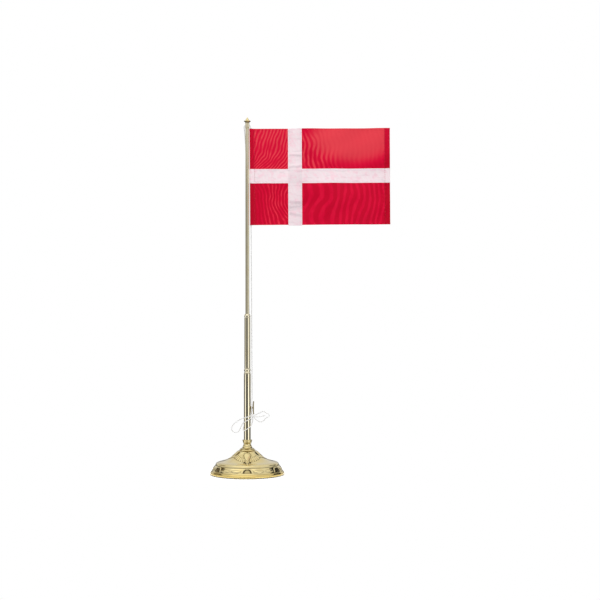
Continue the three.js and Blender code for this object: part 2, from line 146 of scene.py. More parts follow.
def mixed(tree, factor, first, second):
    """The colour between two, each an RGB triple or a Wire."""
    node = tree.nodes.new("ShaderNodeMix")
    node.data_type = "RGBA"
    connect(tree, factor, node.inputs[0])
    for colour, socket in ((first, node.inputs[6]), (second, node.inputs[7])):
        connect(tree, colour if isinstance(colour, Wire) else (*colour, 1.0), socket)
    return Wire(tree, node.outputs[2])


def axes(tree, kind, scale=1.0):
    """The three coordinates at the shaded point."""
    source = tree.nodes.new("ShaderNodeTexCoord")
    split = tree.nodes.new("ShaderNodeSeparateXYZ")
    tree.links.new(source.outputs[kind], split.inputs[0])
    return [Wire(tree, socket) * scale for socket in split.outputs]


def attribute(tree, name):
    node = tree.nodes.new("ShaderNodeAttribute")
    node.attribute_name = name
    return Wire(tree, node.outputs["Fac"])


class Finish:
    """A material with one Principled shader, and its coordinates in millimetres."""

    def __init__(self, name, **constants):
        self.material = bpy.data.materials.new(name)
        self.material.use_nodes = True
        self.tree = self.material.node_tree
        self.shader = self.tree.nodes["Principled BSDF"]
        for socket, value in constants.items():
            self.shader.inputs[socket.replace("_", " ")].default_value = value
        self.x, self.y, self.z = axes(self.tree, "Object", 1 / MM)

    def noise(self, across, up=None, detail=2.0, roughness=0.5):
        """Soft noise, about 0.3 to 0.7, whose lumps are that many millimetres across and up."""
        up = across if up is None else up
        place = self.tree.nodes.new("ShaderNodeCombineXYZ")
        for socket, value in zip(place.inputs, (self.x / across, self.y / across, self.z / up)):
            connect(self.tree, value, socket)
        node = self.tree.nodes.new("ShaderNodeTexNoise")
        node.inputs["Scale"].default_value = 1.0
        node.inputs["Detail"].default_value = detail
        node.inputs["Roughness"].default_value = roughness
        self.tree.links.new(place.outputs[0], node.inputs["Vector"])
        return Wire(self.tree, node.outputs["Fac"])

    def mix(self, factor, first, second):
        return mixed(self.tree, factor, first, second)

    def coat(self, colour, roughness, relief, depth, strength=1.0):
        """Gives the surface its colour, roughness and relief, depth millimetres where it is 1."""
        connect(self.tree, colour, self.shader.inputs["Base Color"])
        connect(self.tree, roughness, self.shader.inputs["Roughness"])
        node = self.tree.nodes.new("ShaderNodeBump")
        node.inputs["Strength"].default_value = strength
        node.inputs["Distance"].default_value = depth * MM
        connect(self.tree, relief, node.inputs["Height"])
        self.tree.links.new(node.outputs[0], self.shader.inputs["Normal"])
        return self.material


# ---------- finishes ----------
BRASS = (0.91, 0.775, 0.41)
BRASS_WARM = (0.86, 0.68, 0.31)
# A deeper orange, painted as the reflection of brass in brass near the table.
BRASS_REFLECTED = (0.84, 0.64, 0.22)
BRASS_PALE = (0.92, 0.845, 0.62)
BRASS_PALE_WARM = (0.87, 0.76, 0.50)
# Tarnish brown, also the colour of painted shade in recesses.
TARNISH_AND_SHADE = (0.045, 0.028, 0.010)


def polished_brass(name, across, up, bright=BRASS, warm=BRASS_WARM):
    """Bright brass with faint clouds of handling and polishing lines. Its recesses get tarnish and
    painted shade, and its lowest part a painted deeper reflection.
    """
    f = Finish(name, Metallic=1.0)
    clouds = f.noise(9.0, detail=3.0).fade(0.42, 0.68)
    lines = f.noise(across, up)
    # Painted shade and tarnish in recesses, eyes and undersides: darker and rougher where this mask
    # is high.
    shade_and_tarnish = attribute(f.tree, "shade_and_tarnish")
    # Painted reflection: the lowest few millimetres turn a deeper orange.
    rim_reflection = 1.0 - f.z.fade(2.5, 6.5)
    body = f.mix(rim_reflection * 0.9, f.mix(clouds * 0.6, bright, warm), BRASS_REFLECTED)
    return f.coat(
        f.mix(shade_and_tarnish, body, TARNISH_AND_SHADE),
        clouds * 0.035 + lines * 0.05 + shade_and_tarnish * 0.30 + 0.035,
        lines, 0.004, 0.6,
    )


def plain_brass(name):
    """Turned brass that nobody polished, for the pieces inside the tubes."""
    f = Finish(name, Metallic=1.0)
    rings = f.z.wave(0.35)
    blotches = f.noise(2.5, detail=4.0).fade(0.4, 0.65)
    return f.coat(
        f.mix(blotches, (0.72, 0.55, 0.26), (0.50, 0.36, 0.16)),
        rings * 0.12 + blotches * 0.15 + 0.25,
        rings, 0.02, 0.5,
    )


def zinc_steel(name):
    """Bright zinc plating with its faint spangle."""
    f = Finish(name, Metallic=1.0)
    spangle = f.noise(1.2, detail=3.0)
    return f.coat(
        f.mix(spangle.fade(0.35, 0.65), (0.58, 0.59, 0.60), (0.74, 0.74, 0.72)),
        spangle * 0.25 + 0.2,
        spangle, 0.01, 0.4,
    )


def cast_iron(name):
    """Rough sand-cast iron with a little rust."""
    f = Finish(name, Metallic=0.6)
    sand = f.noise(0.7, detail=5.0, roughness=0.65)
    rust = f.noise(6.0, detail=4.0).fade(0.52, 0.72)
    return f.coat(
        f.mix(rust, (0.045, 0.042, 0.04), (0.14, 0.06, 0.03)),
        sand * 0.3 + 0.6,
        sand, 0.25,
    )


def green_felt(name):
    """Pressed wool felt, with matted fibres."""
    f = Finish(name, Sheen_Weight=0.6, Sheen_Roughness=0.6)
    fibres = f.noise(0.35, detail=4.0, roughness=0.7)
    patches = f.noise(5.0, detail=3.0)
    return f.coat(
        f.mix(patches.fade(0.35, 0.65), (0.012, 0.055, 0.022), (0.022, 0.085, 0.034)),
        fibres * 0.15 + 0.82,
        fibres, 0.18,
    )


def white_cord(name):
    """Twisted cotton, with fine fibres along the strands."""
    f = Finish(name, Sheen_Weight=0.25, Sheen_Roughness=0.5)
    fibres = f.noise(0.14, 0.3, detail=3.0, roughness=0.6)
    dust = f.noise(7.0).fade(0.45, 0.7)
    # Painted shade in the valleys between the strands.
    strand_shade = attribute(f.tree, "shade_and_tarnish")
    clean = f.mix(dust, (0.85, 0.85, 0.855), (0.79, 0.785, 0.77))
    return f.coat(
        f.mix(strand_shade * 0.55, clean, (0.55, 0.54, 0.52)),
        fibres * 0.2 + 0.7,
        fibres, 0.05, 0.7,
    )


SATIN_DARK = (0.51, 0.0, 0.018)
SATIN_MID = (0.74, 0.002, 0.040)
SATIN_LIGHT = (0.83, 0.056, 0.078)
SATIN_WHITE = (0.98, 0.845, 0.88)
SATIN_PINK = (1.0, 0.62, 0.72)
# The grey of painted shade on the white satin.
SATIN_SHADE = (0.62, 0.50, 0.55)


FLOAT = 0.28  # the pitch of the satin's long floats, the same on every panel


def satin(name, paint):
    """Polyester satin in fine slanting cells. paint(finish, across, up) gives a place's colour."""
    f = Finish(name, Sheen_Weight=0.02, Sheen_Roughness=0.35, Specular_IOR_Level=0.10)
    up = f.z - FLAG_FOOT_Z
    across = f.x - FLAG_FOOT_X + up * LEAN
    floats = (f.x + f.z * 0.5).wave(FLOAT) * 0.6 + (f.z - f.x * 0.35).wave(FLOAT * 2.1) * 0.4
    threads = floats + f.noise(0.5, 1.6) * 0.6
    return f.coat(paint(f, across, up), threads * 0.10 + 0.40, threads, 0.02, 0.5)


def watered(f, across, phase, period, depth, glow, crest=0.15):
    """Red satin with watered bands. phase is millimetres across them, crest thins pale ones."""
    drift = f.noise(16.0, detail=1.0) * 7.0 - 3.5
    broken = f.noise(9.0, 14.0).fade(0.30, 0.62)
    bands = (phase + drift).wave(period).fade(crest, 0.95)
    # Painted shade darkens the doubled cloth of the sleeve and the hem.
    hem = across.fade(HEM_SEAM - 0.6, HEM_SEAM + 0.6)
    doubled_shade = hem + (1.0 - across.fade(SLEEVE_SEAM, SLEEVE_SEAM + 0.8))
    value = (bands * depth * (broken * 0.6 + 0.4) + glow) * (1.0 - doubled_shade * 0.70)
    low = f.mix(value.fade(0.0, 0.5), SATIN_DARK, SATIN_MID)
    return f.mix(value.fade(0.4, 1.1), low, SATIN_LIGHT)


def paint_upper_hoist(f, across, up):
    below = (88.0 - up).most(0.0)
    phase = across + (88.0 - up) * 0.28 + below * below * 0.020
    glow = up.fade(66.0, 112.0) * 0.18 + 0.30
    return watered(f, across, phase, 4.0, 0.62, glow)


def paint_upper_fly(f, across, up):
    phase = across + up.swing(36.0, 0.8) * 1.6 + up * 0.10
    near = 1.0 - across.fade(74.0, 112.0)
    lit = 1.0 - up.fade(100.0, 113.0)
    # Painted sheen: a broad pale coral patch high on the fly.
    reach = ((across - 122.0) / 62.0, (up - 106.0) / 38.0)
    far = reach[0] * reach[0] + reach[1] * reach[1]
    painted_sheen = (1.0 - far.fade(0.15, 1.15)) * 0.72
    return watered(f, across, phase, 5.4, near * lit * 0.62 + 0.08, painted_sheen + 0.26)


def paint_lower_hoist(f, across, up):
    pinch = up.fade(4.0, 26.0) * (1.0 - up.fade(34.0, 49.0))
    spine = 24.0 + (1.0 - up.fade(0.0, 27.0)) * 9.0
    phase = (across - spine) * (pinch * 0.45 + 1.0)
    return watered(f, across, phase, 5.2, across.fade(8.0, 24.0) * 0.42 + 0.14, 0.20, 0.35)


def paint_lower_fly(f, across, up):
    far = (across - 70.0).most(0.0)
    phase = across + (up + across * 0.10).swing(66.0, 0.2) * 6.0
    phase = phase + f.noise(30.0, detail=0.0) * 16.0 + far * far * 0.006
    return watered(f, across, phase, 12.0, 0.27, 0.225, 0.30)


# Painted shade along the vertical bar's creases: height on the flag, slope, and half width.
CREASE_SHADES = (
    (82.4, 0.10, 2.2), (68.6, -0.06, 2.6), (27.0, 0.12, 3.0), (21.8, -0.10, 2.2), (12.6, 0.22, 3.2),
)


def paint_white(f, across, up):
    slant = (across + up * 0.55 + f.noise(12.0, detail=1.0) * 14.0).wave(5.2)
    pink = f.noise(8.0, 6.0).fade(0.46, 0.70)
    # Painted shade in soft folds and along the creases, mixed towards grey.
    fold_shade = f.noise(9.0, 2.4).fade(0.52, 0.74) * 0.6
    shadowed = 1.0 - (across - BAR_MIDDLE_X).size().fade(6.6, 8.0)
    for height, slope, wide in CREASE_SHADES:
        fold = up - height + (across - BAR_MIDDLE_X) * slope + f.noise(4.0, detail=1.0) * 3.0 - 1.5
        fold_shade = fold_shade.most((1.0 - fold.size().fade(0.0, wide)) * shadowed)
    # A little greyer where the bars cross.
    crossing = (1.0 - (across - BAR_MIDDLE_X).size().fade(7.6, 8.6)) * (
        1.0 - (up - BAR_MIDDLE_Z).size().fade(7.6, 8.6)
    )
    tinted = f.mix(pink * 0.42 + slant * 0.13, SATIN_WHITE, SATIN_PINK)
    low_shade = (1.0 - up.fade(20.0, 48.0)) * 0.16
    return f.mix(fold_shade * 0.42 + crossing * 0.16 + low_shade, tinted, SATIN_SHADE)


def sewing_thread(name, colour, shade):
    """Polyester thread, two plies."""
    f = Finish(name, Sheen_Weight=0.2, Sheen_Roughness=0.4)
    ply = (f.x + f.z).wave(0.22)
    return f.coat(f.mix(ply, shade, colour), ply * 0.1 + 0.45, ply, 0.03)


# ---------- meshes ----------
BRASS_SLOT = "polished_brass"
CLEARANCE = 0.3  # round a stud, a tube or a seat
CORNER_POINTS = 5  # on each rounded corner
SUPPORT = 0.3  # from the end of a straight run to its extra point


def box_mm(node):
    """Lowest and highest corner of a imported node, in millimetres."""
    low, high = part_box(node)
    return low / MM, high / MM


def make_piece(name, points, faces, material, sharp=50.0, shade_and_tarnish=None):
    """A smooth-shaded mesh object from points in millimetres."""
    mesh = bpy.data.meshes.new(name)
    mesh.from_pydata((np.asarray(points, float) * MM).tolist(), [], faces)
    mesh.polygons.foreach_set("use_smooth", np.ones(len(mesh.polygons), bool))
    mesh.set_sharp_from_angle(angle=math.radians(sharp))
    mesh.materials.append(material)
    # The optional mask of painted shade and tarnish, one value for each point.
    if shade_and_tarnish is not None:
        layer = mesh.attributes.new("shade_and_tarnish", "FLOAT", "POINT")
        layer.data.foreach_set("value", np.asarray(shade_and_tarnish, np.float32))
    return add_object(name, mesh)


def settle(piece, body, slot, *nodes):
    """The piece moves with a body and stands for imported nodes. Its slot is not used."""
    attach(piece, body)
    if nodes:
        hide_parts(*nodes)
    return piece


def angles(count):
    """Evenly spaced angles of one full turn."""
    return np.arange(count) * TAU / count


def directions(line):
    """The direction of a line at each of its points, one long."""
    ahead = np.gradient(line, axis=0)
    return ahead / np.linalg.norm(ahead, axis=1)[:, None]


def runs(line):
    """How far along a line each of its points lies."""
    steps = np.linalg.norm(np.diff(line, axis=0), axis=1)
    return np.concatenate([[0], np.cumsum(steps)])


def lifted(height, *points):
    """Outline points of (radius, height) that were measured from a height."""
    return [(radius, height + up) for radius, up in points]


def catmull(points, step):
    """A smooth curve through points, with its own points about step apart."""
    p = np.asarray(points, float)
    p = np.vstack([2 * p[0] - p[1], p, 2 * p[-1] - p[-2]])
    made = []
    for a, b, c, d in zip(p, p[1:], p[2:], p[3:]):
        gaps = [max(np.linalg.norm(q - r), 1e-9) ** 0.5 for q, r in ((b, a), (c, b), (d, c))]
        into = (c - b) - gaps[1] * ((c - a) / (gaps[0] + gaps[1]) - (b - a) / gaps[0])
        out = (c - b) + gaps[1] * ((d - c) / gaps[2] - (d - b) / (gaps[1] + gaps[2]))
        count = max(1, round(np.linalg.norm(c - b) / step))
        t = (np.arange(count) / count)[:, None]
        made.append(
            (2 * t**3 - 3 * t**2 + 1) * b
            + (t**3 - 2 * t**2 + t) * into
            + (3 * t**2 - 2 * t**3) * c
            + (t**3 - t**2) * out
        )
    return np.vstack([*made, p[-2]])


def rounded(points, radius):
    """A line of points with its inner corners rounded off."""
    p = np.asarray(points, float)
    made = [p[0]]
    for before, corner, after in zip(p, p[1:], p[2:]):
        ends = []
        for away in (before - corner, after - corner):
            size = np.linalg.norm(away)
            ends.append(corner + away / size * min(radius, size * 0.45))
        for t in np.linspace(0, 1, CORNER_POINTS):
            made.append((1 - t) ** 2 * ends[0] + 2 * t * (1 - t) * corner + t**2 * ends[1])
    return np.array([*made, p[-1]])


def lathe(outline, sides):
    """Points and faces of an outline of (radius, height) turned about the pole's axis.
    It starts and ends on the axis, or closes on itself."""
    points, rings = [], []
    for radius, height in outline:
        if radius < 1e-6:
            rings.append([len(points)])
            points.append((0.0, 0.0, height))
        else:
            rings.append(range(len(points), len(points) + sides))
            turn = angles(sides)
            points += zip(radius * np.cos(turn), radius * np.sin(turn), [height] * sides)
    if len(rings[0]) > 1:
        rings.append(rings[0])
    faces = []
    for below, above in zip(rings, rings[1:]):
        for i in range(sides):
            j = (i + 1) % sides
            quad = ((below, i), (below, j), (above, j), (above, i))
            faces.append(tuple(dict.fromkeys(ring[k % len(ring)] for ring, k in quad)))
    return np.array(points), faces


def supported(line):
    """The line with a point near both ends of every straight run, which keeps it shaded flat."""
    made = [line[0]]
    for start, end in zip(line, line[1:]):
        run = np.linalg.norm(end - start)
        if run > 3 * SUPPORT:
            step = (end - start) * SUPPORT / run
            made += [start + step, end - step]
        made.append(end)
    return np.array(made)


def turned(name, outline, brass, radius, sides=96, shade_and_dull=None):
    """A turned brass piece whose corners are rounded. The optional function of height gives its
    painted shade and dullness there.
    """
    closed = outline[0][0] > 0
    line = list(outline)
    if closed:
        middle = tuple((np.array(line[-1]) + np.array(line[0])) / 2)
        line = [middle, *line, middle]
    line = supported(rounded(line, radius))
    points, faces = lathe(line[:-1] if closed else line, sides)
    shade_and_tarnish = None if shade_and_dull is None else shade_and_dull(points[:, 2])
    return make_piece(name, points, faces, brass, shade_and_tarnish=shade_and_tarnish)


def grid_faces(rows, columns, wrap_rows=False, wrap_columns=False):
    """Quads between rows and columns of points that were laid out row by row."""
    faces = []
    for i in range(rows if wrap_rows else rows - 1):
        for j in range(columns if wrap_columns else columns - 1):
            k, n = (i + 1) % rows, (j + 1) % columns
            faces.append((i * columns + j, i * columns + n, k * columns + n, k * columns + j))
    return faces


def bar_faces(rows, around):
    """Faces of a round bar whose rings were laid out one after another, with both ends closed."""
    faces = grid_faces(rows, around, wrap_columns=True)
    faces.append(tuple(range(around))[::-1])
    faces.append(tuple(range((rows - 1) * around, rows * around)))
    return faces


def smoothstep(low, high, value):
    t = np.clip((value - low) / (high - low), 0, 1)
    return t * t * (3 - 2 * t)


def ridge(distance, width):
    """A rounded ridge, 1 on its line."""
    return np.exp(-((distance / width) ** 2))


# ---------- the foot ----------
# A flared cone with rings round its shoulder, hollow underneath. Three shields with leaf fans stand
# out of the flare, and six arched tabs with lozenges between them out of the moulding below.
FOOT_LOW, FOOT_HIGH = box_mm("base_shell")
FOOT_R = FOOT_HIGH.x
FOOT_TOP_R = 10.8
FOOT_STEP = 0.27
FOOT_COLUMNS = 540
SHIELDS = 3
FAN_LEAVES = 6
FAN_SPAN = 60.0
TABS = 6
GROOVE_Z = 11.35
FACING = math.radians(2.2)  # how far the front shield stands round towards +X
DEEPEST = 0.70  # the deepest cut, less than the foot's wall


def foot_outline():
    """The outside from the neck to the rim's lower edge."""
    flare = [
        (FOOT_TOP_R, FOOT_HIGH.z), (13.4, 25.2), (17.0, 21.8), (21.9, 18.2), (27.3, 15.8),
        (33.0, 14.7), (35.0, 14.2), (36.2, 13.4), (37.0, 12.2), (38.3, 10.1), (39.8, 7.8),
        (41.3, 5.5),
    ]
    rim = [(0.9, 3.7), (0.2, 2.7), (0.0, 1.6), (0.2, FOOT_LOW.z + 0.2)]
    return catmull([*flare, *[(FOOT_R - inwards, height) for inwards, height in rim]], FOOT_STEP)


def ring_relief(line):
    """Grooves and beads that run right round the foot."""
    radius, height = line[:, 0], line[:, 1]
    upper = -0.26 * ridge(radius - 34.2, 0.30) * (height > 13.5)
    bead = 0.20 * ridge(height - 13.0, 0.75) * (radius > 34.0)
    middle = -0.30 * ridge(height - GROOVE_Z, 0.34)
    swell = 0.16 * np.sin(np.clip((10.9 - height) / 5.4, 0, 1) * math.pi) ** 0.8
    lower = -0.22 * ridge(height - 4.4, 0.32)
    line_above = -0.12 * ridge(radius - 31.6, 0.22) * (height > 13.5)
    return upper + bead + middle + swell + lower + line_above


def egg(side, along, wide, above, below, taper):
    """How far out a point is in an egg shape, 1 on its outline."""
    reach = np.where(along < 0, along / above, along / below)
    return np.sqrt((side / wide * (1 + taper * np.clip(reach, 0, 1))) ** 2 + reach**2)


def shield_relief(u, v):
    """One shield with its pendant, eyes and leaf fans, and how much painted shade and dullness it
    has: shade in the eyes, a duller boss. u runs round the foot, v down the flare."""
    side = np.abs(u)
    shape = egg(side, v - 6.4, 4.5, 5.6, 8.6, 0.30)
    boss = 0.50 * np.sqrt(np.clip(1 - (shape / 0.90) ** 2, 0, 1)) + 0.10 * (shape < 0.9)
    frame_line = 0.55 * ridge(shape - 1.09, 0.085) * (v > 0.4)
    moat = -0.25 * ridge(shape - 0.955, 0.05) * (v > 0.6)

    drop = egg(side, v - 19.0, 1.55, 3.6, 6.0, 0.5)
    pendant = 0.70 * np.sqrt(np.clip(1 - drop**2, 0, 1))
    eye = np.hypot(side - 3.3, v - 18.9)
    scroll = 0.24 * ridge(eye - 1.85, 0.40) - 0.85 * ridge(eye, 1.10)
    scroll = scroll - 0.40 * ridge(drop - 1.30, 0.22) * (v > 18.0)
    band = ridge(np.hypot(side - 3.0, (v - 14.6) * 0.8) - 2.5, 0.40) * (side < 4.6) * (v > 14.0)
    tail = 0.38 * ridge(side - (26.0 - v) * 0.42, 0.42) * smoothstep(20.2, 21.2, v) * (v < 26.0)

    ahead, down = side - 3.0, v + 0.4
    length = np.hypot(ahead, down)
    turn = np.degrees(np.arctan2(ahead, np.maximum(down, 1e-6)))
    beat = np.abs(np.cos(np.clip(turn / FAN_SPAN, 0, 1) * FAN_LEAVES * math.pi))
    edge = 16.4 + 1.0 * (1 - beat) + 0.8 * smoothstep(35, FAN_SPAN, turn)
    inner_edge = 9.6 + 0.8 * (1 - beat)
    within = smoothstep(0.25, -0.25, length - edge) * smoothstep(-2, 3, turn)
    within = within * smoothstep(62, 57, turn) * (shape > 1.12) * (drop > 1.2)
    hollow = 0.20 * (1 - beat) * smoothstep(3, 9, length)
    lip = 0.24 * ridge(length - (edge - 0.6), 0.42)
    tier = 0.22 * smoothstep(0.2, -0.2, length - inner_edge)
    tier = tier + 0.16 * ridge(length - (inner_edge - 0.4), 0.35)
    rib = -0.12 * ridge((beat - 1.0) * 2.0, 0.35)
    fan = (0.24 + hollow + lip + tier + rib) * within * 0.80

    relief = np.maximum.reduce([fan, boss, frame_line, pendant, 0.42 * band, tail])
    # Painted shade darkens the eyes; the boss is a little duller.
    shade_and_dull = 0.22 * smoothstep(0.95, 0.80, shape) + smoothstep(1.75, 1.35, eye)
    return relief + moat + np.where(drop > 1.0, scroll, 0), shade_and_dull


def tab_relief(u, v):
    """One arched tab with the lozenges beside it, and where its darker, rougher panel lies.
    v runs down the moulding from its groove."""
    side = np.abs(u)
    rise = np.clip(4.6 - v, 0, None)
    flare_out = np.clip(v - 4.6, 0, None) * 0.55
    arch = np.sqrt((side / (5.5 + flare_out)) ** 2 + (rise / 3.9) ** 2)
    below = v < 6.6
    band = 0.40 * ridge(arch - 1.0, 0.12) * below
    panel = smoothstep(0.95, 0.80, arch) * below
    across = (side - 13.6) / 5.6
    lozenge = 0.60 * np.clip(1 - np.abs(across) ** 1.7 - ((v - 4.5) / 1.75) ** 2, 0, 1) ** 0.55
    return band - 0.22 * panel + lozenge, panel


def foot_relief(line, turn):
    """How far the outside stands out and how much painted shade and dullness it has, with a row for
    each outline point.
    """
    down = runs(line)
    near_shield = (turn + math.pi / SHIELDS) % (TAU / SHIELDS) - math.pi / SHIELDS
    near_tab = (turn + math.pi / TABS) % (TAU / TABS) - math.pi / TABS
    radius = line[:, :1]
    shield, shield_shade_and_dull = shield_relief(radius * near_shield, down[:, None] + 0 * turn)
    top_fade = smoothstep(0.0, 0.8, down)[:, None]
    groove = down[np.argmin(np.abs(line[:, 1] - GROOVE_Z))]
    below = (down - groove)[:, None] + 0 * turn
    tab, panel = tab_relief(radius * near_tab, below)
    on_moulding = smoothstep(-0.6, 0.2, below) * smoothstep(7.6, 7.0, below)
    on_flare = smoothstep(26.8, 25.6, down)[:, None]
    relief = ring_relief(line)[:, None] + shield * top_fade * on_flare + tab * on_moulding
    relief = np.maximum(relief, -DEEPEST)
    # Painted shade: hollow darkens places lower than their surroundings, the next line darkens the
    # deep cuts.
    hollow = np.clip((blurred(relief, 5, 4) - relief) / 0.20, 0, 1) * 0.70
    deep_shade = 0.30 * smoothstep(-0.30, -0.6, relief)
    shade_and_dull = 0.50 * panel * on_moulding * smoothstep(1.2, 2.0, below) + shield_shade_and_dull * on_flare
    return relief, np.clip(hollow + deep_shade + shade_and_dull, 0, 1)


def blurred(field, columns_wide, rows_tall):
    """The field averaged over a window, wrapped round the foot."""
    total = sum(np.roll(field, k, axis=1) for k in range(-columns_wide, columns_wide + 1))
    wide = total / (2 * columns_wide + 1)
    padded = np.pad(wide, ((rows_tall, rows_tall), (0, 0)), mode="edge")
    total = sum(padded[k:k + len(field)] for k in range(2 * rows_tall + 1))
    return total / (2 * rows_tall + 1)


def build_foot(brass):
    line = foot_outline()
    turn = angles(FOOT_COLUMNS) - math.pi / 2
    relief, shade_and_dull = foot_relief(line, turn + math.pi / 2 - FACING)
    ahead = directions(line)
    radius = line[:, :1] - ahead[:, 1:] * relief
    height = line[:, 1:] + ahead[:, :1] * relief

    bore = box_mm("tie_stud")[1].x + CLEARANCE
    wall = 0.9
    top, foot = FOOT_HIGH.z, FOOT_LOW.z
    inside = np.array([
        (FOOT_R - 0.6, foot), (FOOT_R - wall, foot + 0.1), (FOOT_R - 1.6, 3.0), (40.3, 5.6),
        (36.9, 10.0), (35.0, 12.9), (32.8, 13.7), (26.8, 14.8), (21.2, 17.2), (16.2, 20.8),
        (12.6, 24.2), (10.2, top - wall), (bore, top - wall), (bore, top), (FOOT_TOP_R - 0.7, top),
    ])
    radius = np.vstack([radius, inside[:, :1] + 0 * turn])
    height = np.vstack([height, inside[:, 1:] + 0 * turn])
    points = np.stack([radius * np.cos(turn), radius * np.sin(turn), height], axis=-1)
    shade_and_tarnish = np.vstack([shade_and_dull, np.zeros((len(inside), len(turn)))])
    faces = grid_faces(len(points), FOOT_COLUMNS, wrap_rows=True, wrap_columns=True)
    faces = [face[::-1] for face in faces]
    piece = make_piece("foot_casting", points.reshape(-1, 3), faces, brass, 70, shade_and_tarnish.ravel())
    settle(piece, "base", BRASS_SLOT, "base_shell")


def build_felt(felt):
    """The felt disc, with the soft edge that a punched disc has."""
    low, high = box_mm("felt_pad")
    edge, thick = high.x, high.z - low.z
    rim = [
        (edge - 0.25, 0.0), (edge, 0.3), (edge + 0.05, thick / 2), (edge - 0.05, thick - 0.25),
        (edge - 0.3, thick),
    ]
    flat = np.linspace(0, edge - 1.0, 40)
    outline = [*[(r, 0.0) for r in flat], *rim, *[(r, thick) for r in flat[::-1]]]
    points, faces = lathe(outline, 180)
    angle = np.arctan2(points[:, 1], points[:, 0])
    ragged = 1 + 0.0016 * np.sin(angle * 47) * np.sin(angle * 13 + 1)
    points[:, :2] *= ragged[:, None]
    piece = make_piece("felt_disc", points, faces, felt)
    settle(piece, "base", "green_felt", "felt_pad")


# ---------- neck and pole ----------
def build_neck(brass):
    low, high = box_mm("base_flange")
    bore = box_mm("tie_stud")[1].x + CLEARANCE
    edge = high.x
    flange = [
        *lifted(low.z, (bore, 0), (edge - 0.55, 0), (edge - 0.1, 0.4), (edge, 0.8)),
        *lifted(high.z, (edge - 0.15, -0.3), (edge - 0.6, 0)),
        *lifted(high.z, (edge - 0.95, -0.22), (edge - 1.2, 0)),
        (bore, high.z),
    ]
    settle(turned("foot_flange", flange, brass, 0.2), "base", BRASS_SLOT, "base_flange")

    low, high = box_mm("neck_collar")
    foot, top = low.z, high.z
    cup = box_mm("lower_tube")[1].x + CLEARANCE
    cup_floor = box_mm("lower_tube")[0].z - CLEARANCE
    flank = catmull(lifted(
        foot, (8.2, 0.55), (6.5, 1.25), (5.55, 2.5), (5.15, 3.8), (4.45, 5.2), (4.3, 5.9),
        (4.7, 7.0), (5.2, 8.3), (5.35, 9.2), (5.2, 9.55),
    ), 0.3)
    outline = [
        (bore, foot), (8.2, foot), *map(tuple, flank), (5.75, top - 0.9), (5.8, top - 0.35),
        (5.5, top), (cup, top), (cup, cup_floor), (bore, cup_floor),
    ]
    # Darker and rougher in bands about 7.4 and 1.2 millimetres above its foot, and a little all
    # over.
    collar = turned(
        "collar", outline, brass, 0.12,
        shade_and_dull=lambda z: 0.45 * ridge(z - foot - 7.4, 1.0) + 0.35 * ridge(z - foot - 1.2, 0.7) + 0.10,
    )
    settle(collar, "base", BRASS_SLOT, "neck_collar")


def build_tubes(brass):
    wall, chamfer, bore = 0.5, 0.2, 1.8
    for name, node in (("tube_lower", "lower_tube"), ("tube_middle", "middle_tube")):
        low, high = box_mm(node)
        outer = high.x
        tube = [
            *lifted(low.z, (outer - wall, 0), (outer - chamfer, 0), (outer, chamfer)),
            *lifted(high.z, (outer, -chamfer), (outer - chamfer, 0), (outer - wall, 0)),
        ]
        settle(turned(name, tube, brass, 0.1), "pole", BRASS_SLOT, node)

    low, high = box_mm("joint_ring_lower")
    foot, outer = low.z, high.x
    bead = catmull(lifted(
        foot, (outer, 0.6), (3.6, 1.0), (3.38, 1.7), (3.42, 2.3), (3.82, 2.9), (3.98, 3.6),
        (3.92, 4.3), (3.62, 5.0), (3.5, 5.4),
    ), 0.2)
    outline = [(bore, foot), (outer, foot), *map(tuple, bead), (3.5, high.z), (bore, high.z)]
    settle(turned("bead_lower", outline, brass, 0.1), "pole", BRASS_SLOT, "joint_ring_lower")

    low, high = box_mm("joint_ring_upper")
    foot, top = low.z, high.z
    socket = box_mm("upper_rod")[1].x + CLEARANCE
    dome = catmull([
        *lifted(foot, (3.45, 0.35), (3.66, 0.9), (3.68, 1.6), (3.45, 2.5), (3.1, 3.2)),
        (2.75, top - 0.05),
    ], 0.2)
    outline = [
        (bore, foot), (3.45, foot), *map(tuple, dome), (socket, top),
        (socket, foot + 1.6), (bore, foot + 1.6),
    ]
    settle(turned("ferrule_upper", outline, brass, 0.1), "pole", BRASS_SLOT, "joint_ring_upper")


def build_rod(brass):
    low, high = box_mm("upper_rod")
    rod = high.x
    spigot_r = 1.5
    shoulder = 186.6
    top = high.z - 1.4
    outline = [
        *lifted(low.z, (0, 0), (1.3, 0), (spigot_r, 0.3)), (spigot_r, shoulder), (rod, shoulder),
        *lifted(top, (rod, -0.15), (rod - 0.15, 0), (1.4, 0)),
        *lifted(high.z, (1.4, -0.2), (1.2, 0), (0, 0)),
    ]
    settle(turned("rod_upper", outline, brass, 0.08), "pole", BRASS_SLOT, "upper_rod")

    low, high = box_mm("truck")
    outer, foot, top = high.x, low.z, high.z
    outline = [
        *lifted(foot, (0, 1.5), (1.7, 1.5), (1.7, 0), (outer - 0.15, 0), (outer, 0.15)),
        *lifted(foot, (outer, 0.7), (outer - 0.16, 0.9), (outer, 1.1)),
        *lifted(top, (outer, -1.1), (outer - 0.16, -0.9), (outer, -0.7), (outer, -0.15)),
        *lifted(top, (outer - 0.15, 0), (1.4, 0), (1.4, -1.6), (0, -1.6)),
    ]
    truck = turned("truck_turned", outline, brass, 0.08, 64)
    drill(truck, HALYARD_HOLE_Z, 0.9, outer + 1)
    settle(truck, "pole", BRASS_SLOT, "truck")


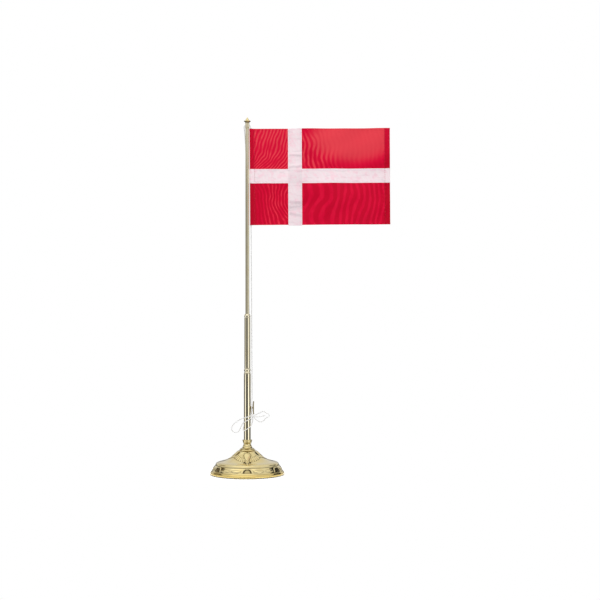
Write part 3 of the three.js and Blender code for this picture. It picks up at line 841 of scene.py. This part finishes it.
def drill(piece, height, radius, half_length):
    """A hole right through the piece, along X."""
    ends = (-half_length, half_length)
    points, faces = lathe([(0, ends[0]), *[(radius, end) for end in ends], (0, ends[1])], 32)
    points = points[:, [2, 0, 1]] + (0, 0, height)
    cutter = make_piece("cutter", points, faces, piece.data.materials[0])
    cut = piece.modifiers.new("hole", "BOOLEAN")
    cut.object = cutter
    cut.solver = "EXACT"
    graph = bpy.context.evaluated_depsgraph_get()
    piece.data = bpy.data.meshes.new_from_object(piece.evaluated_get(graph))
    piece.modifiers.clear()
    bpy.data.objects.remove(cutter)


def threaded(radius, low, high, pitch, depth):
    """Points and faces of a threaded rod whose thread runs out towards its flat, closed ends."""
    sides, per_turn = 48, 10
    heights = np.arange(low, high + 1e-6, pitch / per_turn)
    turn = angles(sides)
    phase = heights[:, None] / pitch - turn[None, :] / TAU
    cut = np.abs((phase % 1.0) - 0.5) * 2
    fade = np.clip(np.minimum(heights - low, high - heights) / pitch, 0, 1)[:, None]
    r = radius - depth * (1 - cut) * fade - 0.35 * depth * (1 - fade)
    points = np.stack([r * np.cos(turn), r * np.sin(turn), heights[:, None] + 0 * turn], axis=-1)
    return points.reshape(-1, 3), bar_faces(len(heights), sides)


def build_stud(steel):
    low, high = box_mm("tie_stud")
    piece = make_piece("tie_stud_threaded", *threaded(high.x, low.z, high.z, 0.7, 0.30), steel, 35)
    settle(piece, "base", "zinc_steel", "tie_stud")


def build_finial(brass):
    low, high = box_mm("finial")
    seat = box_mm("truck")[1].z + CLEARANCE
    tip, wide = high.z, high.x
    cup = catmull(lifted(seat, (2.45, 0), (2.75, 0.45), (3.4, 0.95), (wide - 0.1, 1.4)), 0.15)
    spike = catmull([
        *lifted(seat, (3.3, 2.15), (2.55, 2.75), (1.9, 3.5), (1.3, 4.4), (0.75, 5.3)),
        (0.22, tip - 0.2),
    ], 0.2)
    outline = [
        *lifted(low.z, (0, 0), (1.0, 0), (1.1, 0.15)), (1.1, seat), *map(tuple, cup),
        *lifted(seat, (wide, 1.75), (wide - 0.12, 2.0)), *map(tuple, spike), (0, tip),
    ]
    # Painted shade under the cup and on the neck below it.
    piece = turned(
        "finial_spike", outline, brass, 0.08,
        shade_and_dull=lambda z: 0.6 * smoothstep(seat + 1.55, seat + 1.25, z),
    )
    settle(piece, "finial", BRASS_SLOT, "finial")


# ---------- swept shapes ----------
def frames_along(path):
    """Two directions square to a path at each of its points, turning no more than they must."""
    ahead = directions(path)
    side = np.cross(ahead[0], (0.0, 0.0, 1.0))
    if np.linalg.norm(side) < 0.1:
        side = np.cross(ahead[0], (0.0, 1.0, 0.0))
    sides = []
    for direction in ahead:
        side = side - direction * side.dot(direction)
        side = side / np.linalg.norm(side)
        sides.append(side)
    sides = np.array(sides)
    return sides, np.cross(ahead, sides)


def rings_along(path, radii, around):
    """A ring of points round each point of a path. radii has a row for each ring."""
    first, second = frames_along(path)
    turn = angles(around)[:, None]
    ring = first[:, None] * np.cos(turn) + second[:, None] * np.sin(turn)
    return (path[:, None] + ring * radii[:, :, None]).reshape(-1, 3)


def swept(path, radii, around):
    """Points and faces of a round bar along a path, closed at both ends."""
    points = rings_along(path, np.asarray(radii)[:, None], around)
    return points, bar_faces(len(path), around)


def joined(parts):
    """Several (points, faces) as one."""
    points, faces, offset = [], [], 0
    for some_points, some_faces in parts:
        points.append(some_points)
        faces += [tuple(i + offset for i in face) for face in some_faces]
        offset += len(some_points)
    return np.vstack(points), faces


def build_cleat(brass):
    """A small horn cleat: a rose against the tube, a waisted stem and two tapered horns."""
    low, high = box_mm("cleat")
    middle = (low.z + high.z) / 2
    reach = (high.z - low.z) / 2
    tube = box_mm("lower_tube")[1].x
    x = 7.1  # of the horns' middle
    half = [(x + 0.35, reach - 0.4), (x + 0.1, reach * 0.62), (x - 0.05, 2.2)]
    line = catmull([
        *[(out, 0, middle + up) for out, up in half], (x - 0.05, 0, middle),
        *[(out, 0, middle - up) for out, up in half[::-1]],
    ], 0.35)
    along = np.abs(line[:, 2] - middle) / (reach - 0.4)
    radii = 0.78 - 0.16 * along + 0.10 * ridge(along - 0.97, 0.10)
    ends = np.clip((1.0 - along) / 0.05, 0, 1)
    radii = radii * np.sqrt(1 - (1 - ends) ** 2 * 0.85)
    horns = swept(line, radii, 24)
    profile = catmull([
        *lifted(tube, (2.0, -0.2), (2.0, 0.25), (1.55, 0.7), (1.05, 1.3), (0.9, 2.0)),
        (1.05, x - 0.2),
    ], 0.2)
    stem = lathe([(0, tube - 0.5), *map(tuple, profile), (0, x)], 40)
    stem_points = stem[0][:, [2, 0, 1]] + (0, 0, middle)
    points, faces = joined([horns, (stem_points, stem[1])])
    handled = np.full(len(points), 0.55)
    piece = make_piece("cleat_horned", points, faces, brass, shade_and_tarnish=handled)
    settle(piece, "pole", BRASS_SLOT, "cleat")


# ---------- halyard ----------
# One cord, in this order: turns on the cleat, up through the flag's sleeve, through the truck, down
# behind the pole, the knot under the cleat, the right loop, the left loop, turns round the tube and
# the free end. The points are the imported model's, with a few more on the straight run.
FLAG_TOP_Z = 406.4
HALYARD_TOP_X = 3.8
LEAN = 0.006
HALYARD_HOLE_Z = 410.3
CORD_R = 0.5
WRAP_R = 4.8
CLEAT_Z = 78.2
FALL_BOTTOM_Z = 93.0
FALL_TOP_Z = 408.4


def halyard_x(z):
    return HALYARD_TOP_X + (FLAG_TOP_Z - z) * LEAN


def on_pole(*places):
    """Points on the tube's outside from (degrees round it, height)."""
    turned_to = [(math.radians(degrees), z) for degrees, z in places]
    return [(WRAP_R * math.cos(a), WRAP_R * math.sin(a), z) for a, z in turned_to]


def cleat_turns():
    """Flat turns round the cleat's stem from the inside out, leaving upwards on the near side."""
    per_turn = 12
    points = []
    for i in range(22):
        whole = i / per_turn
        a = math.pi * (1 + 2 * whole)
        half = 1.85 + 1.35 * whole
        reach = 2.6 + 1.9 * whole
        points.append((5.25, -half * math.sin(a), CLEAT_Z - reach * math.cos(a)))
    return [*points, (5.3, -3.9, 81.5), (5.45, -2.6, 86.0), (5.6, -1.0, 89.6)]


FALL_HEIGHTS = [FALL_BOTTOM_Z, 93.7, 94.6, 96.0, 99.0, 106.0, *np.linspace(125, FALL_TOP_Z, 10)]
HOIST_FALL = [(halyard_x(z), 0, z) for z in FALL_HEIGHTS]
TRUCK_TURN = [
    (3.7, 0, 409.5), (3.2, 0, 410.15), (2.3, 0, HALYARD_HOLE_Z), (-2.3, 0, HALYARD_HOLE_Z),
    (-3.2, 0.1, 410.1), (-3.7, 0.4, 409.3), (-3.65, 1.1, 406.6), (-3.1, 1.9, 401.2),
]
BACK_FALL = [
    (-1.6, 3.1, 372), (0, 3.6, 335), (0.6, 3.9, 290), (1.2, 4.3, 240), (1.8, 4.8, 195),
    (2.2, 4.9, 150), (2.4, 4.95, 120), (2.5, 5.1, 98), (2.8, 5.2, 84), (3.7, 4.9, 75.5),
    (4.9, 4.0, 71.2), (5.9, 2.2, 68.9), (6.2, 0.7, 68.4), (6.1, -0.2, 68.4),
]
KNOT = (5.9, -2.0, 68.4)
RIGHT_LOOP = [
    (7.6, -2.3, 67.9), (8.9, -2.2, 65.9), (12.0, -1.9, 63.4), (15.6, -1.6, 61.7),
    (19.2, -1.4, 63.2), (22.0, -1.3, 66.4), (25.6, -1.2, 68.2), (25.4, -1.2, 70.3),
    (22.6, -1.3, 72.3), (18.8, -1.4, 74.0), (14.2, -1.6, 72.2), (10.7, -1.8, 70.4),
    (7.6, -2.0, 69.15),
]
LEFT_LOOP = [
    (4.45, -3.1, 68.55),
    *on_pole((-50, 68.5), (-70, 68.2), (-90, 67.6), (-112, 67.0), (-135, 66.6), (-155, 66.2)),
    (-6.7, -1.4, 65.4), (-9.4, -1.0, 64.1), (-12.0, -0.8, 62.2), (-14.9, -0.6, 60.1),
    (-17.1, -0.5, 57.5), (-18.5, -0.5, 54.6), (-17.9, -0.5, 51.6), (-15.9, -0.6, 49.7),
    (-12.9, -0.8, 49.2), (-10.5, -1.0, 50.1), (-9.2, -1.2, 52.1), (-8.0, -1.5, 54.6),
    (-6.6, -1.8, 57.6), (-4.93, -2.25, 60.3),
]
POLE_WRAPS = [
    *on_pole(
        (-142, 61.0), (-118, 62.2), (-95, 63.3), (-72, 64.4), (-48, 65.2), (-20, 65.5), (10, 65.1),
        (40, 64.0), (70, 62.2), (100, 59.8), (130, 57.2), (160, 54.4), (190, 52.0), (215, 51.2),
        (240, 52.0), (265, 53.4), (290, 54.8), (315, 55.9), (338, 56.9),
    ),
    (5.3, -0.4, 59.2), (6.0, 0.1, 62.0), (6.4, -0.3, 64.6), (6.1, -1.3, 66.6),
]
TAIL = [
    (7.2, -3.3, 68.5), (10.7, -3.6, 68.0), (15.0, -3.7, 68.2), (18.6, -3.7, 68.9),
    (21.2, -3.6, 69.3),
]
HALYARD_NODES = ["halyard_" + stretch for stretch in (
    "cleat_turns", "hoist_fall", "truck_turn", "back_fall", "right_loop", "left_loop", "pole_wraps",
    "tail",
)]
STRAND_TURN = 3.2  # the cord's length for one full twist of its three strands


def twisted(path, radius, closed=False, around=18, twist=STRAND_TURN):
    """A three-strand cord along a path: points, faces and how far each point is between strands."""
    run = runs(path)
    lobe = np.abs(np.cos(1.5 * (angles(around)[None, :] - run[:, None] / twist * TAU)))
    r = radius * (0.80 + 0.20 * lobe**0.8)
    if closed:
        faces = grid_faces(len(path), around, wrap_rows=True, wrap_columns=True)
    else:
        faces = bar_faces(len(path), around)
        ends = np.minimum(run, run[-1] - run) / radius
        r = r * np.sqrt(np.clip(ends * (2 - ends), 0.05, 1) * (ends < 1) + (ends >= 1))[:, None]
    return rings_along(path, r, around), faces, (1 - lobe).ravel() ** 2


def build_halyard(cotton):
    path = catmull([
        *cleat_turns(), *HOIST_FALL, *TRUCK_TURN, *BACK_FALL, KNOT, *RIGHT_LOOP, KNOT, *LEFT_LOOP,
        *POLE_WRAPS, KNOT, *TAIL,
    ], 0.42)
    points, faces, strand_shade = twisted(path, CORD_R)
    halyard = make_piece("halyard", points, faces, cotton, 180, strand_shade)
    settle(halyard, "pole", "white_cord", *HALYARD_NODES)

    t = angles(90)
    trefoil = np.stack([
        np.sin(t) + 2 * np.sin(2 * t), np.cos(t) - 2 * np.cos(2 * t), -1.5 * np.sin(3 * t),
    ], axis=1)
    points, faces, strand_shade = twisted(trefoil * 0.40 + KNOT, CORD_R, closed=True)
    knot = make_piece("bow_knot", points, faces, cotton, 180, strand_shade)
    settle(knot, "pole", "white_cord", "halyard_knot")


def build_stops(cotton):
    """Whipped stops on the halyard, under and over the flag's sleeve."""
    strand = 0.20
    t = angles(72)
    for node in ("hoist_stop_lower", "hoist_stop_upper"):
        low, high = box_mm(node)
        middle = np.array((low + high) / 2)
        ring_r = (high.x - low.x) / 2 - strand
        parts, deep_shade = [], []
        for level in (-0.16, 0.16):
            lift = level + 0.05 * np.sin(2 * t)
            path = np.stack([ring_r * np.cos(t), ring_r * np.sin(t), lift], axis=1)
            *part, strand_shade = twisted(path + middle, strand, closed=True, around=12, twist=1.3)
            parts.append(part)
            deep_shade.append(strand_shade)
        name = node.replace("hoist_stop", "stop_whipping")
        piece = make_piece(name, *joined(parts), cotton, 180, np.concatenate(deep_shade))
        settle(piece, "hoist_line", "white_cord", node)


# ---------- flag ----------
# The flag's own axes: across runs from the halyard to the fly, up from its foot along the halyard.
FLAG_FOOT_Z = box_mm("field_lower_hoist")[0].z
FLAG_FOOT_X = halyard_x(FLAG_FOOT_Z)
FLAG_H = 113.3
FLY_EDGE = 163.8
BAR_LEFT, BAR_RIGHT = 43.9, 60.2
BAR_LOW, BAR_HIGH = 49.1, 65.9
BAR_MIDDLE_X = (BAR_LEFT + BAR_RIGHT) / 2
BAR_MIDDLE_Z = (BAR_LOW + BAR_HIGH) / 2
SLEEVE_SEAM = 3.5
SLEEVE_END = 9.0  # where the cloth is plain from
HEM_SEAM = 157.4
HEM_START = HEM_SEAM - 2.0  # where the cloth is plain to
CLOTH = 0.32
CLOTH_STEP = 0.9  # between the cloth's points
TURNED_IN = 0.20  # extra thickness of a bar's edge
OVERLAP = 1.2
SEAM_IN = 1.7  # from a bar's edge to its line of stitches


def to_frame(across, out, up):
    """Flag axes to the row frame, in millimetres."""
    lean = math.atan(LEAN)
    return np.stack([
        FLAG_FOOT_X + across * math.cos(lean) - up * math.sin(lean),
        out + 0 * across,
        FLAG_FOOT_Z + across * math.sin(lean) + up * math.cos(lean),
    ], axis=-1)


# The cloth's waves: half height, turns for each millimetre across and up, and phase. The vertical
# bar's folds: height on the flag, size and half width.
WAVES = (
    (1.25, 1 / 88, 1 / 300, 0.4), (0.70, 1 / 43, -1 / 170, 2.2), (0.45, 1 / 210, 1 / 61, 1.1),
    (0.22, -1 / 60, 1 / 27, 0.0),
)
FOLDS = ((82.6, 0.50, 1.5), (69.5, 0.45, 1.6), (27.0, 0.50, 2.0), (17.5, -0.45, 1.8))


def billow(across, up):
    """How far the cloth stands in front of or behind its plane."""
    free = smoothstep(4.0, 46.0, across)
    waves = sum(size * np.sin(TAU * (across * a + up * u) + shift) for size, a, u, shift in WAVES)
    pucker = sum(
        0.10 * ridge(across - seam, 2.6) * np.sin(TAU * up / 4.9 + seam)
        for seam in (BAR_LEFT, BAR_RIGHT, HEM_SEAM)
    ) + sum(
        0.10 * ridge(up - seam, 2.6) * np.sin(TAU * across / 5.3 + seam)
        for seam in (BAR_LOW, BAR_HIGH)
    )
    aside = across - BAR_MIDDLE_X
    crease = sum(
        size * ridge(up - at - 0.10 * aside, wide) * ridge(aside, 7.5) for at, size, wide in FOLDS
    )
    return -free * (waves + crease) + pucker * smoothstep(4.0, 20.0, across)


def sleeve_line():
    """The fold round the halyard, from the field round to the tail sewn behind it."""
    return catmull([
        (SLEEVE_END, 0.0), (6.5, -0.02), (4.6, -0.16), (3.4, -0.62), (1.9, -0.95), (0.4, -0.98),
        (-0.8, -0.66), (-1.03, 0.0), (-0.8, 0.66), (0.4, 0.98), (1.9, 0.95), (3.2, 0.66),
        (4.4, 0.42), (6.2, 0.36),
    ], 0.35)


def hem_line():
    """The fold at the fly, from the field round to the edge sewn behind it."""
    edge = FLY_EDGE - CLOTH / 2
    return catmull([
        (HEM_START, 0.0), (HEM_SEAM + 1.0, -0.05), (edge - 1.4, -0.10), (edge - 0.25, -0.05),
        (edge, 0.20), (edge - 0.25, 0.42), (edge - 1.4, 0.45), (HEM_SEAM + 1.0, 0.40),
        (HEM_SEAM - 0.6, 0.36),
    ], 0.35)


def cloth_line(start, end):
    """A cloth piece's section from above: (across, out) points. An end of None is the flag's."""
    plain_from = SLEEVE_END if start is None else start
    plain_to = HEM_START if end is None else end
    count = max(2, round((plain_to - plain_from) / CLOTH_STEP))
    plain = np.stack([np.linspace(plain_from, plain_to, count + 1), np.zeros(count + 1)], axis=1)
    parts = [plain]
    if start is None:
        parts.insert(0, sleeve_line()[::-1][:-1])
    if end is None:
        parts.append(hem_line()[1:])
    return np.vstack(parts)


BEAD_ROWS = (0.15, 0.4)  # extra rows of points near an edge that is turned in


def edge_bead(distance):
    """Extra thickness where a narrow edge is turned in and sewn."""
    return TURNED_IN * (smoothstep(2.3, 1.9, distance) * 0.7 + 0.3 * ridge(distance - 0.4, 0.5))


def sheet_mesh(line, low, high, thick, beads):
    """Points and faces of one piece of cloth. beads says which of its edges are turned in."""
    count = max(2, round((high - low) / CLOTH_STEP))
    fine = [low + d for d in BEAD_ROWS if "low" in beads]
    fine += [high - d for d in BEAD_ROWS if "high" in beads]
    up = np.unique([*np.linspace(low, high, count + 1), *fine])
    ahead = directions(line)
    run = line[:, :1]
    across, out = run + 0 * up, line[:, 1:] + billow(run, up)
    half = np.full(across.shape, thick / 2)
    from_edge = {"low": up - low, "high": high - up, "left": run - run[0], "right": run[-1] - run}
    for edge, distance in from_edge.items():
        if edge in beads:
            half = half + edge_bead(distance) / 2
    faced = (
        (across + side * ahead[:, 1:] * half, out - side * ahead[:, :1] * half) for side in (1, -1)
    )
    points = np.concatenate([to_frame(*place, up + 0 * across).reshape(-1, 3) for place in faced])
    rows, columns = across.shape
    quads = grid_faces(rows, columns)
    size = rows * columns
    faces = [*quads, *[tuple(i + size for i in face[::-1]) for face in quads]]
    border = [
        *[i * columns for i in range(rows)], *[(rows - 1) * columns + j for j in range(1, columns)],
        *[i * columns + columns - 1 for i in range(rows - 2, -1, -1)], *range(columns - 2, 0, -1),
    ]
    faces += [(a, a + size, b + size, b) for a, b in zip(border, [*border[1:], border[0]])]
    return points, [face[::-1] for face in faces]


STITCH = 1.55
STITCH_GAP = 0.75
THREAD_R = 0.13


def stitches(points_at, length, half):
    """Short bars of thread lying on both faces along a seam; points_at(run) gives (across, up)."""
    parts = []
    run = np.arange(0.6, length - STITCH, STITCH + STITCH_GAP)
    for face in (-1, 1):
        for start in run:
            t = np.linspace(0, 1, 5)
            across, up = points_at(start + t * STITCH)
            lift = half + THREAD_R * (0.75 - 1.5 * (2 * t - 1) ** 2)
            path = to_frame(across, billow(across, up) + face * lift, up)
            parts.append(swept(path, THREAD_R * np.array([0.6, 0.95, 1.0, 0.95, 0.6]), 6))
    return joined(parts)


def upright(across):
    """The way along an upright seam."""
    return lambda run: (np.full_like(run, across), np.asarray(run, float))


def level(up, start):
    """The way along a level seam."""
    return lambda run: (np.asarray(run, float) + start, np.full_like(run, up))


def build_flag():
    red_thread = sewing_thread("thread_red", (0.55, 0.005, 0.02), (0.34, 0.0, 0.01))
    white_thread = sewing_thread("thread_white", (0.93, 0.90, 0.91), (0.76, 0.72, 0.74))
    on_bars = CLOTH / 2 + TURNED_IN
    on_field = CLOTH / 2 + 0.03
    white_seams = joined([
        stitches(upright(BAR_LEFT + SEAM_IN), FLAG_H, on_bars),
        stitches(upright(BAR_RIGHT - SEAM_IN), FLAG_H, on_bars),
        stitches(level(BAR_LOW + SEAM_IN, 6.0), FLY_EDGE - 7.0, on_bars + 0.05),
        stitches(level(BAR_HIGH - SEAM_IN, 6.0), FLY_EDGE - 7.0, on_bars + 0.05),
    ])
    red_seams = joined([
        stitches(upright(SLEEVE_SEAM + 1.1), FLAG_H, on_field + 0.28),
        stitches(upright(HEM_SEAM + 0.4), FLAG_H, on_field + 0.30),
    ])
    white_stitches = make_piece("bar_stitching", *white_seams, white_thread, 180)
    red_stitches = make_piece("hem_stitching", *red_seams, red_thread, 180)
    settle(white_stitches, "flag", "white_satin")
    settle(red_stitches, "flag", "red_satin")

    left, right = BAR_LEFT + OVERLAP, BAR_RIGHT - OVERLAP
    low, high = BAR_LOW + OVERLAP, BAR_HIGH - OVERLAP
    white = satin("satin_white", paint_white)
    sides = (BAR_LEFT, BAR_RIGHT)
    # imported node, left and right end, bottom, top, extra thickness, beaded edges, colour
    pieces = (
        ("field_upper_hoist", None, left, high, FLAG_H, 0, "high", paint_upper_hoist),
        ("field_lower_hoist", None, left, 0, low, 0, "low", paint_lower_hoist),
        ("field_upper_fly", right, None, high, FLAG_H, 0, "high", paint_upper_fly),
        ("field_lower_fly", right, None, 0, low, 0, "low", paint_lower_fly),
        ("cross_vertical_upper", *sides, high, FLAG_H, 0.12, "high left right", None),
        ("cross_vertical_lower", *sides, -0.7, low, 0.12, "low left right", None),
        ("cross_horizontal", None, None, BAR_LOW, BAR_HIGH, 0.22, "low high", None),
    )
    for node, start, end, bottom, top, thicker, beads, paint in pieces:
        name = node.replace("field", "cloth").replace("cross_vertical", "bar")
        name = name.replace("cross_horizontal", "bar_level")
        line = cloth_line(start, end)
        material = white if paint is None else satin("satin_" + name, paint)
        points, faces = sheet_mesh(line, bottom, top, CLOTH + thicker, beads.split())
        cloth = make_piece(name, points, faces, material, 60)
        settle(cloth, "flag", "white_satin" if paint is None else "red_satin", node)


# ---------- light and floor ----------
# What the brass mirrors: a band of greys below eye level, another at eye level, a plain sky above
# and round spots in it. A band's stops are (azimuth in degrees, grey). Azimuth 0 is behind the
# camera and 90 is on the right. The spots are (azimuth, elevation, half width, colour).
LOW_BAND = (
    (-180, 0.08), (-92, 0.05), (-84, 1.02), (-44, 1.02), (-37, 0.03), (22, 0.012), (27, 1.4),
    (57, 1.4), (64, 0.24), (120, 0.20), (180, 0.14),
)
EYE_BAND = (
    (-180, 0.30), (-100, 0.28), (-80, 0.42), (-45, 0.42), (-30, 0.15), (19, 0.11), (31, 1.10),
    (60, 1.10), (70, 0.36), (180, 0.28),
)
LOW_BAND_ENDS = (-3.3, -2.7)
EYE_BAND_ENDS = (4.0, 9.0)
SKY_LOW, SKY_HIGH = (0.69, 0.69, 0.71), (0.88, 0.87, 0.83)
SPOTS = (
    (-25, 66, 34, (1.15, 1.13, 1.07)),
    (130, 28, 18, (0.008, 0.008, 0.008)),
    (106, 33, 10, (0.02, 0.02, 0.02)),
    (-128, 30, 17, (0.20, 0.16, 0.09)),
    (-106, 34, 9, (0.05, 0.04, 0.03)),
)
LIT_PLACE = Vector((0.04, 0, 0.2))
# The softboxes' names, places, sizes and watts.
SOFTBOXES = (
    ("left_softbox", (-1.3, -1.7, 1.3), 1.4, 13.4),
    ("right_softbox", (1.5, -1.5, 1.1), 1.4, 8.9),
    ("top_softbox", (0.0, 0.2, 2.0), 2.2, 13.2),
    ("back_softbox", (0.3, 1.7, 0.9), 1.4, 14.0),
)


def band(tree, turn, stops):
    """A grey for each direction round the horizon."""
    ramp = tree.nodes.new("ShaderNodeValToRGB")
    connect(tree, turn / 360.0 + 0.5, ramp.inputs[0])
    elements = ramp.color_ramp.elements
    while len(elements) > 1:
        elements.remove(elements[-1])
    for i, (degrees, grey) in enumerate(stops):
        stop = elements[0] if i == 0 else elements.new(degrees / 360 + 0.5)
        stop.position = degrees / 360 + 0.5
        stop.color = (grey, grey, grey, 1)
    return Wire(tree, ramp.outputs[0])


def build_light():
    world = bpy.data.worlds.new("studio")
    bpy.context.scene.world = world
    world.use_nodes = True
    tree = world.node_tree
    x, y, z = axes(tree, "Generated")
    turn = x.math("ARCTAN2", y * -1.0) * (180 / math.pi)
    height = z.math("ARCSINE") * (180 / math.pi)

    low_band = band(tree, turn, LOW_BAND)
    eye_band = band(tree, turn, EYE_BAND)
    horizon = mixed(tree, height.fade(*LOW_BAND_ENDS), low_band, eye_band)
    above = mixed(tree, height.fade(20.0, 75.0), SKY_LOW, SKY_HIGH)
    sky = mixed(tree, height.fade(*EYE_BAND_ENDS), horizon, above)
    for azimuth, elevation, wide, colour in SPOTS:
        a, e = math.radians(azimuth), math.radians(elevation)
        aim = (math.sin(a) * math.cos(e), -math.cos(a) * math.cos(e), math.sin(e))
        near = x * aim[0] + y * aim[1] + z * aim[2]
        inside = near.fade(math.cos(math.radians(wide)), math.cos(math.radians(wide * 0.7)))
        sky = mixed(tree, inside, sky, colour)

    reflected = tree.nodes["Background"]
    tree.links.new(sky.socket, reflected.inputs["Color"])
    backdrop = tree.nodes.new("ShaderNodeBackground")
    backdrop.inputs["Color"].default_value = (1, 1, 1, 1)
    rays = tree.nodes.new("ShaderNodeLightPath")
    mix = tree.nodes.new("ShaderNodeMixShader")
    tree.links.new(rays.outputs["Is Camera Ray"], mix.inputs[0])
    tree.links.new(reflected.outputs[0], mix.inputs[1])
    tree.links.new(backdrop.outputs[0], mix.inputs[2])
    tree.links.new(mix.outputs[0], tree.nodes["World Output"].inputs["Surface"])

    for name, place, size, power in SOFTBOXES:
        data = bpy.data.lights.new(name, "AREA")
        data.size = size
        data.energy = power
        light = add_object(name, data)
        light.location = place
        light.rotation_euler = (Vector(place) - LIT_PLACE).to_track_quat("Z", "Y").to_euler()
        light.visible_glossy = False


FLOOR_R = 0.09
FLOOR_GAP = 0.0002


def build_floor():
    material = bpy.data.materials.new("pale_floor")
    material.use_nodes = True
    shader = material.node_tree.nodes["Principled BSDF"]
    shader.inputs["Base Color"].default_value = (0.93, 0.93, 0.93, 1)
    shader.inputs["Roughness"].default_value = 0.9
    shader.inputs["Emission Color"].default_value = (1, 1, 1, 1)
    shader.inputs["Emission Strength"].default_value = 0.08
    mesh = bpy.data.meshes.new("floor")
    corners = [(FLOOR_R * math.cos(a), FLOOR_R * math.sin(a), 0) for a in angles(96)]
    mesh.from_pydata(corners, [], [tuple(range(len(corners)))])
    mesh.materials.append(material)
    floor = add_object("floor", mesh)
    floor.location.z = CAD_BOX[0].z - FLOOR_GAP


# ---------- the whole object ----------
def dress_hidden_pieces():
    """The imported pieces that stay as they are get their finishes."""
    inner_brass = plain_brass("brass_plain")
    dressed = {
        "lower_tube_bush": inner_brass, "joint_stud_lower": inner_brass,
        "middle_tube_bush": inner_brass, "upper_rod_bush": inner_brass, "cleat_nut": inner_brass,
        "tie_washer": zinc_steel("zinc_washer"), "tie_nut": zinc_steel("zinc_nut"),
        "ballast_weight": cast_iron("iron_cast"),
    }
    for node, material in dressed.items():
        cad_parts[node].material_slots[0].material = material


def build():
    cotton = white_cord("cotton_cord")
    build_halyard(cotton)
    build_stops(cotton)
    cast = polished_brass("brass_cast", 0.9, 0.9)
    lathed = polished_brass("brass_turned", 0.9, 0.07)
    drawn = polished_brass("brass_drawn", 0.9, 0.07, BRASS_PALE, BRASS_PALE_WARM)
    build_foot(cast)
    build_felt(green_felt("felt_green"))
    build_neck(lathed)
    build_tubes(drawn)
    build_rod(drawn)
    build_finial(lathed)
    build_cleat(cast)
    build_stud(zinc_steel("zinc_stud"))
    build_flag()
    dress_hidden_pieces()
    build_light()
    build_floor()


build()
bpy.context.scene.view_settings.view_transform = "Standard"
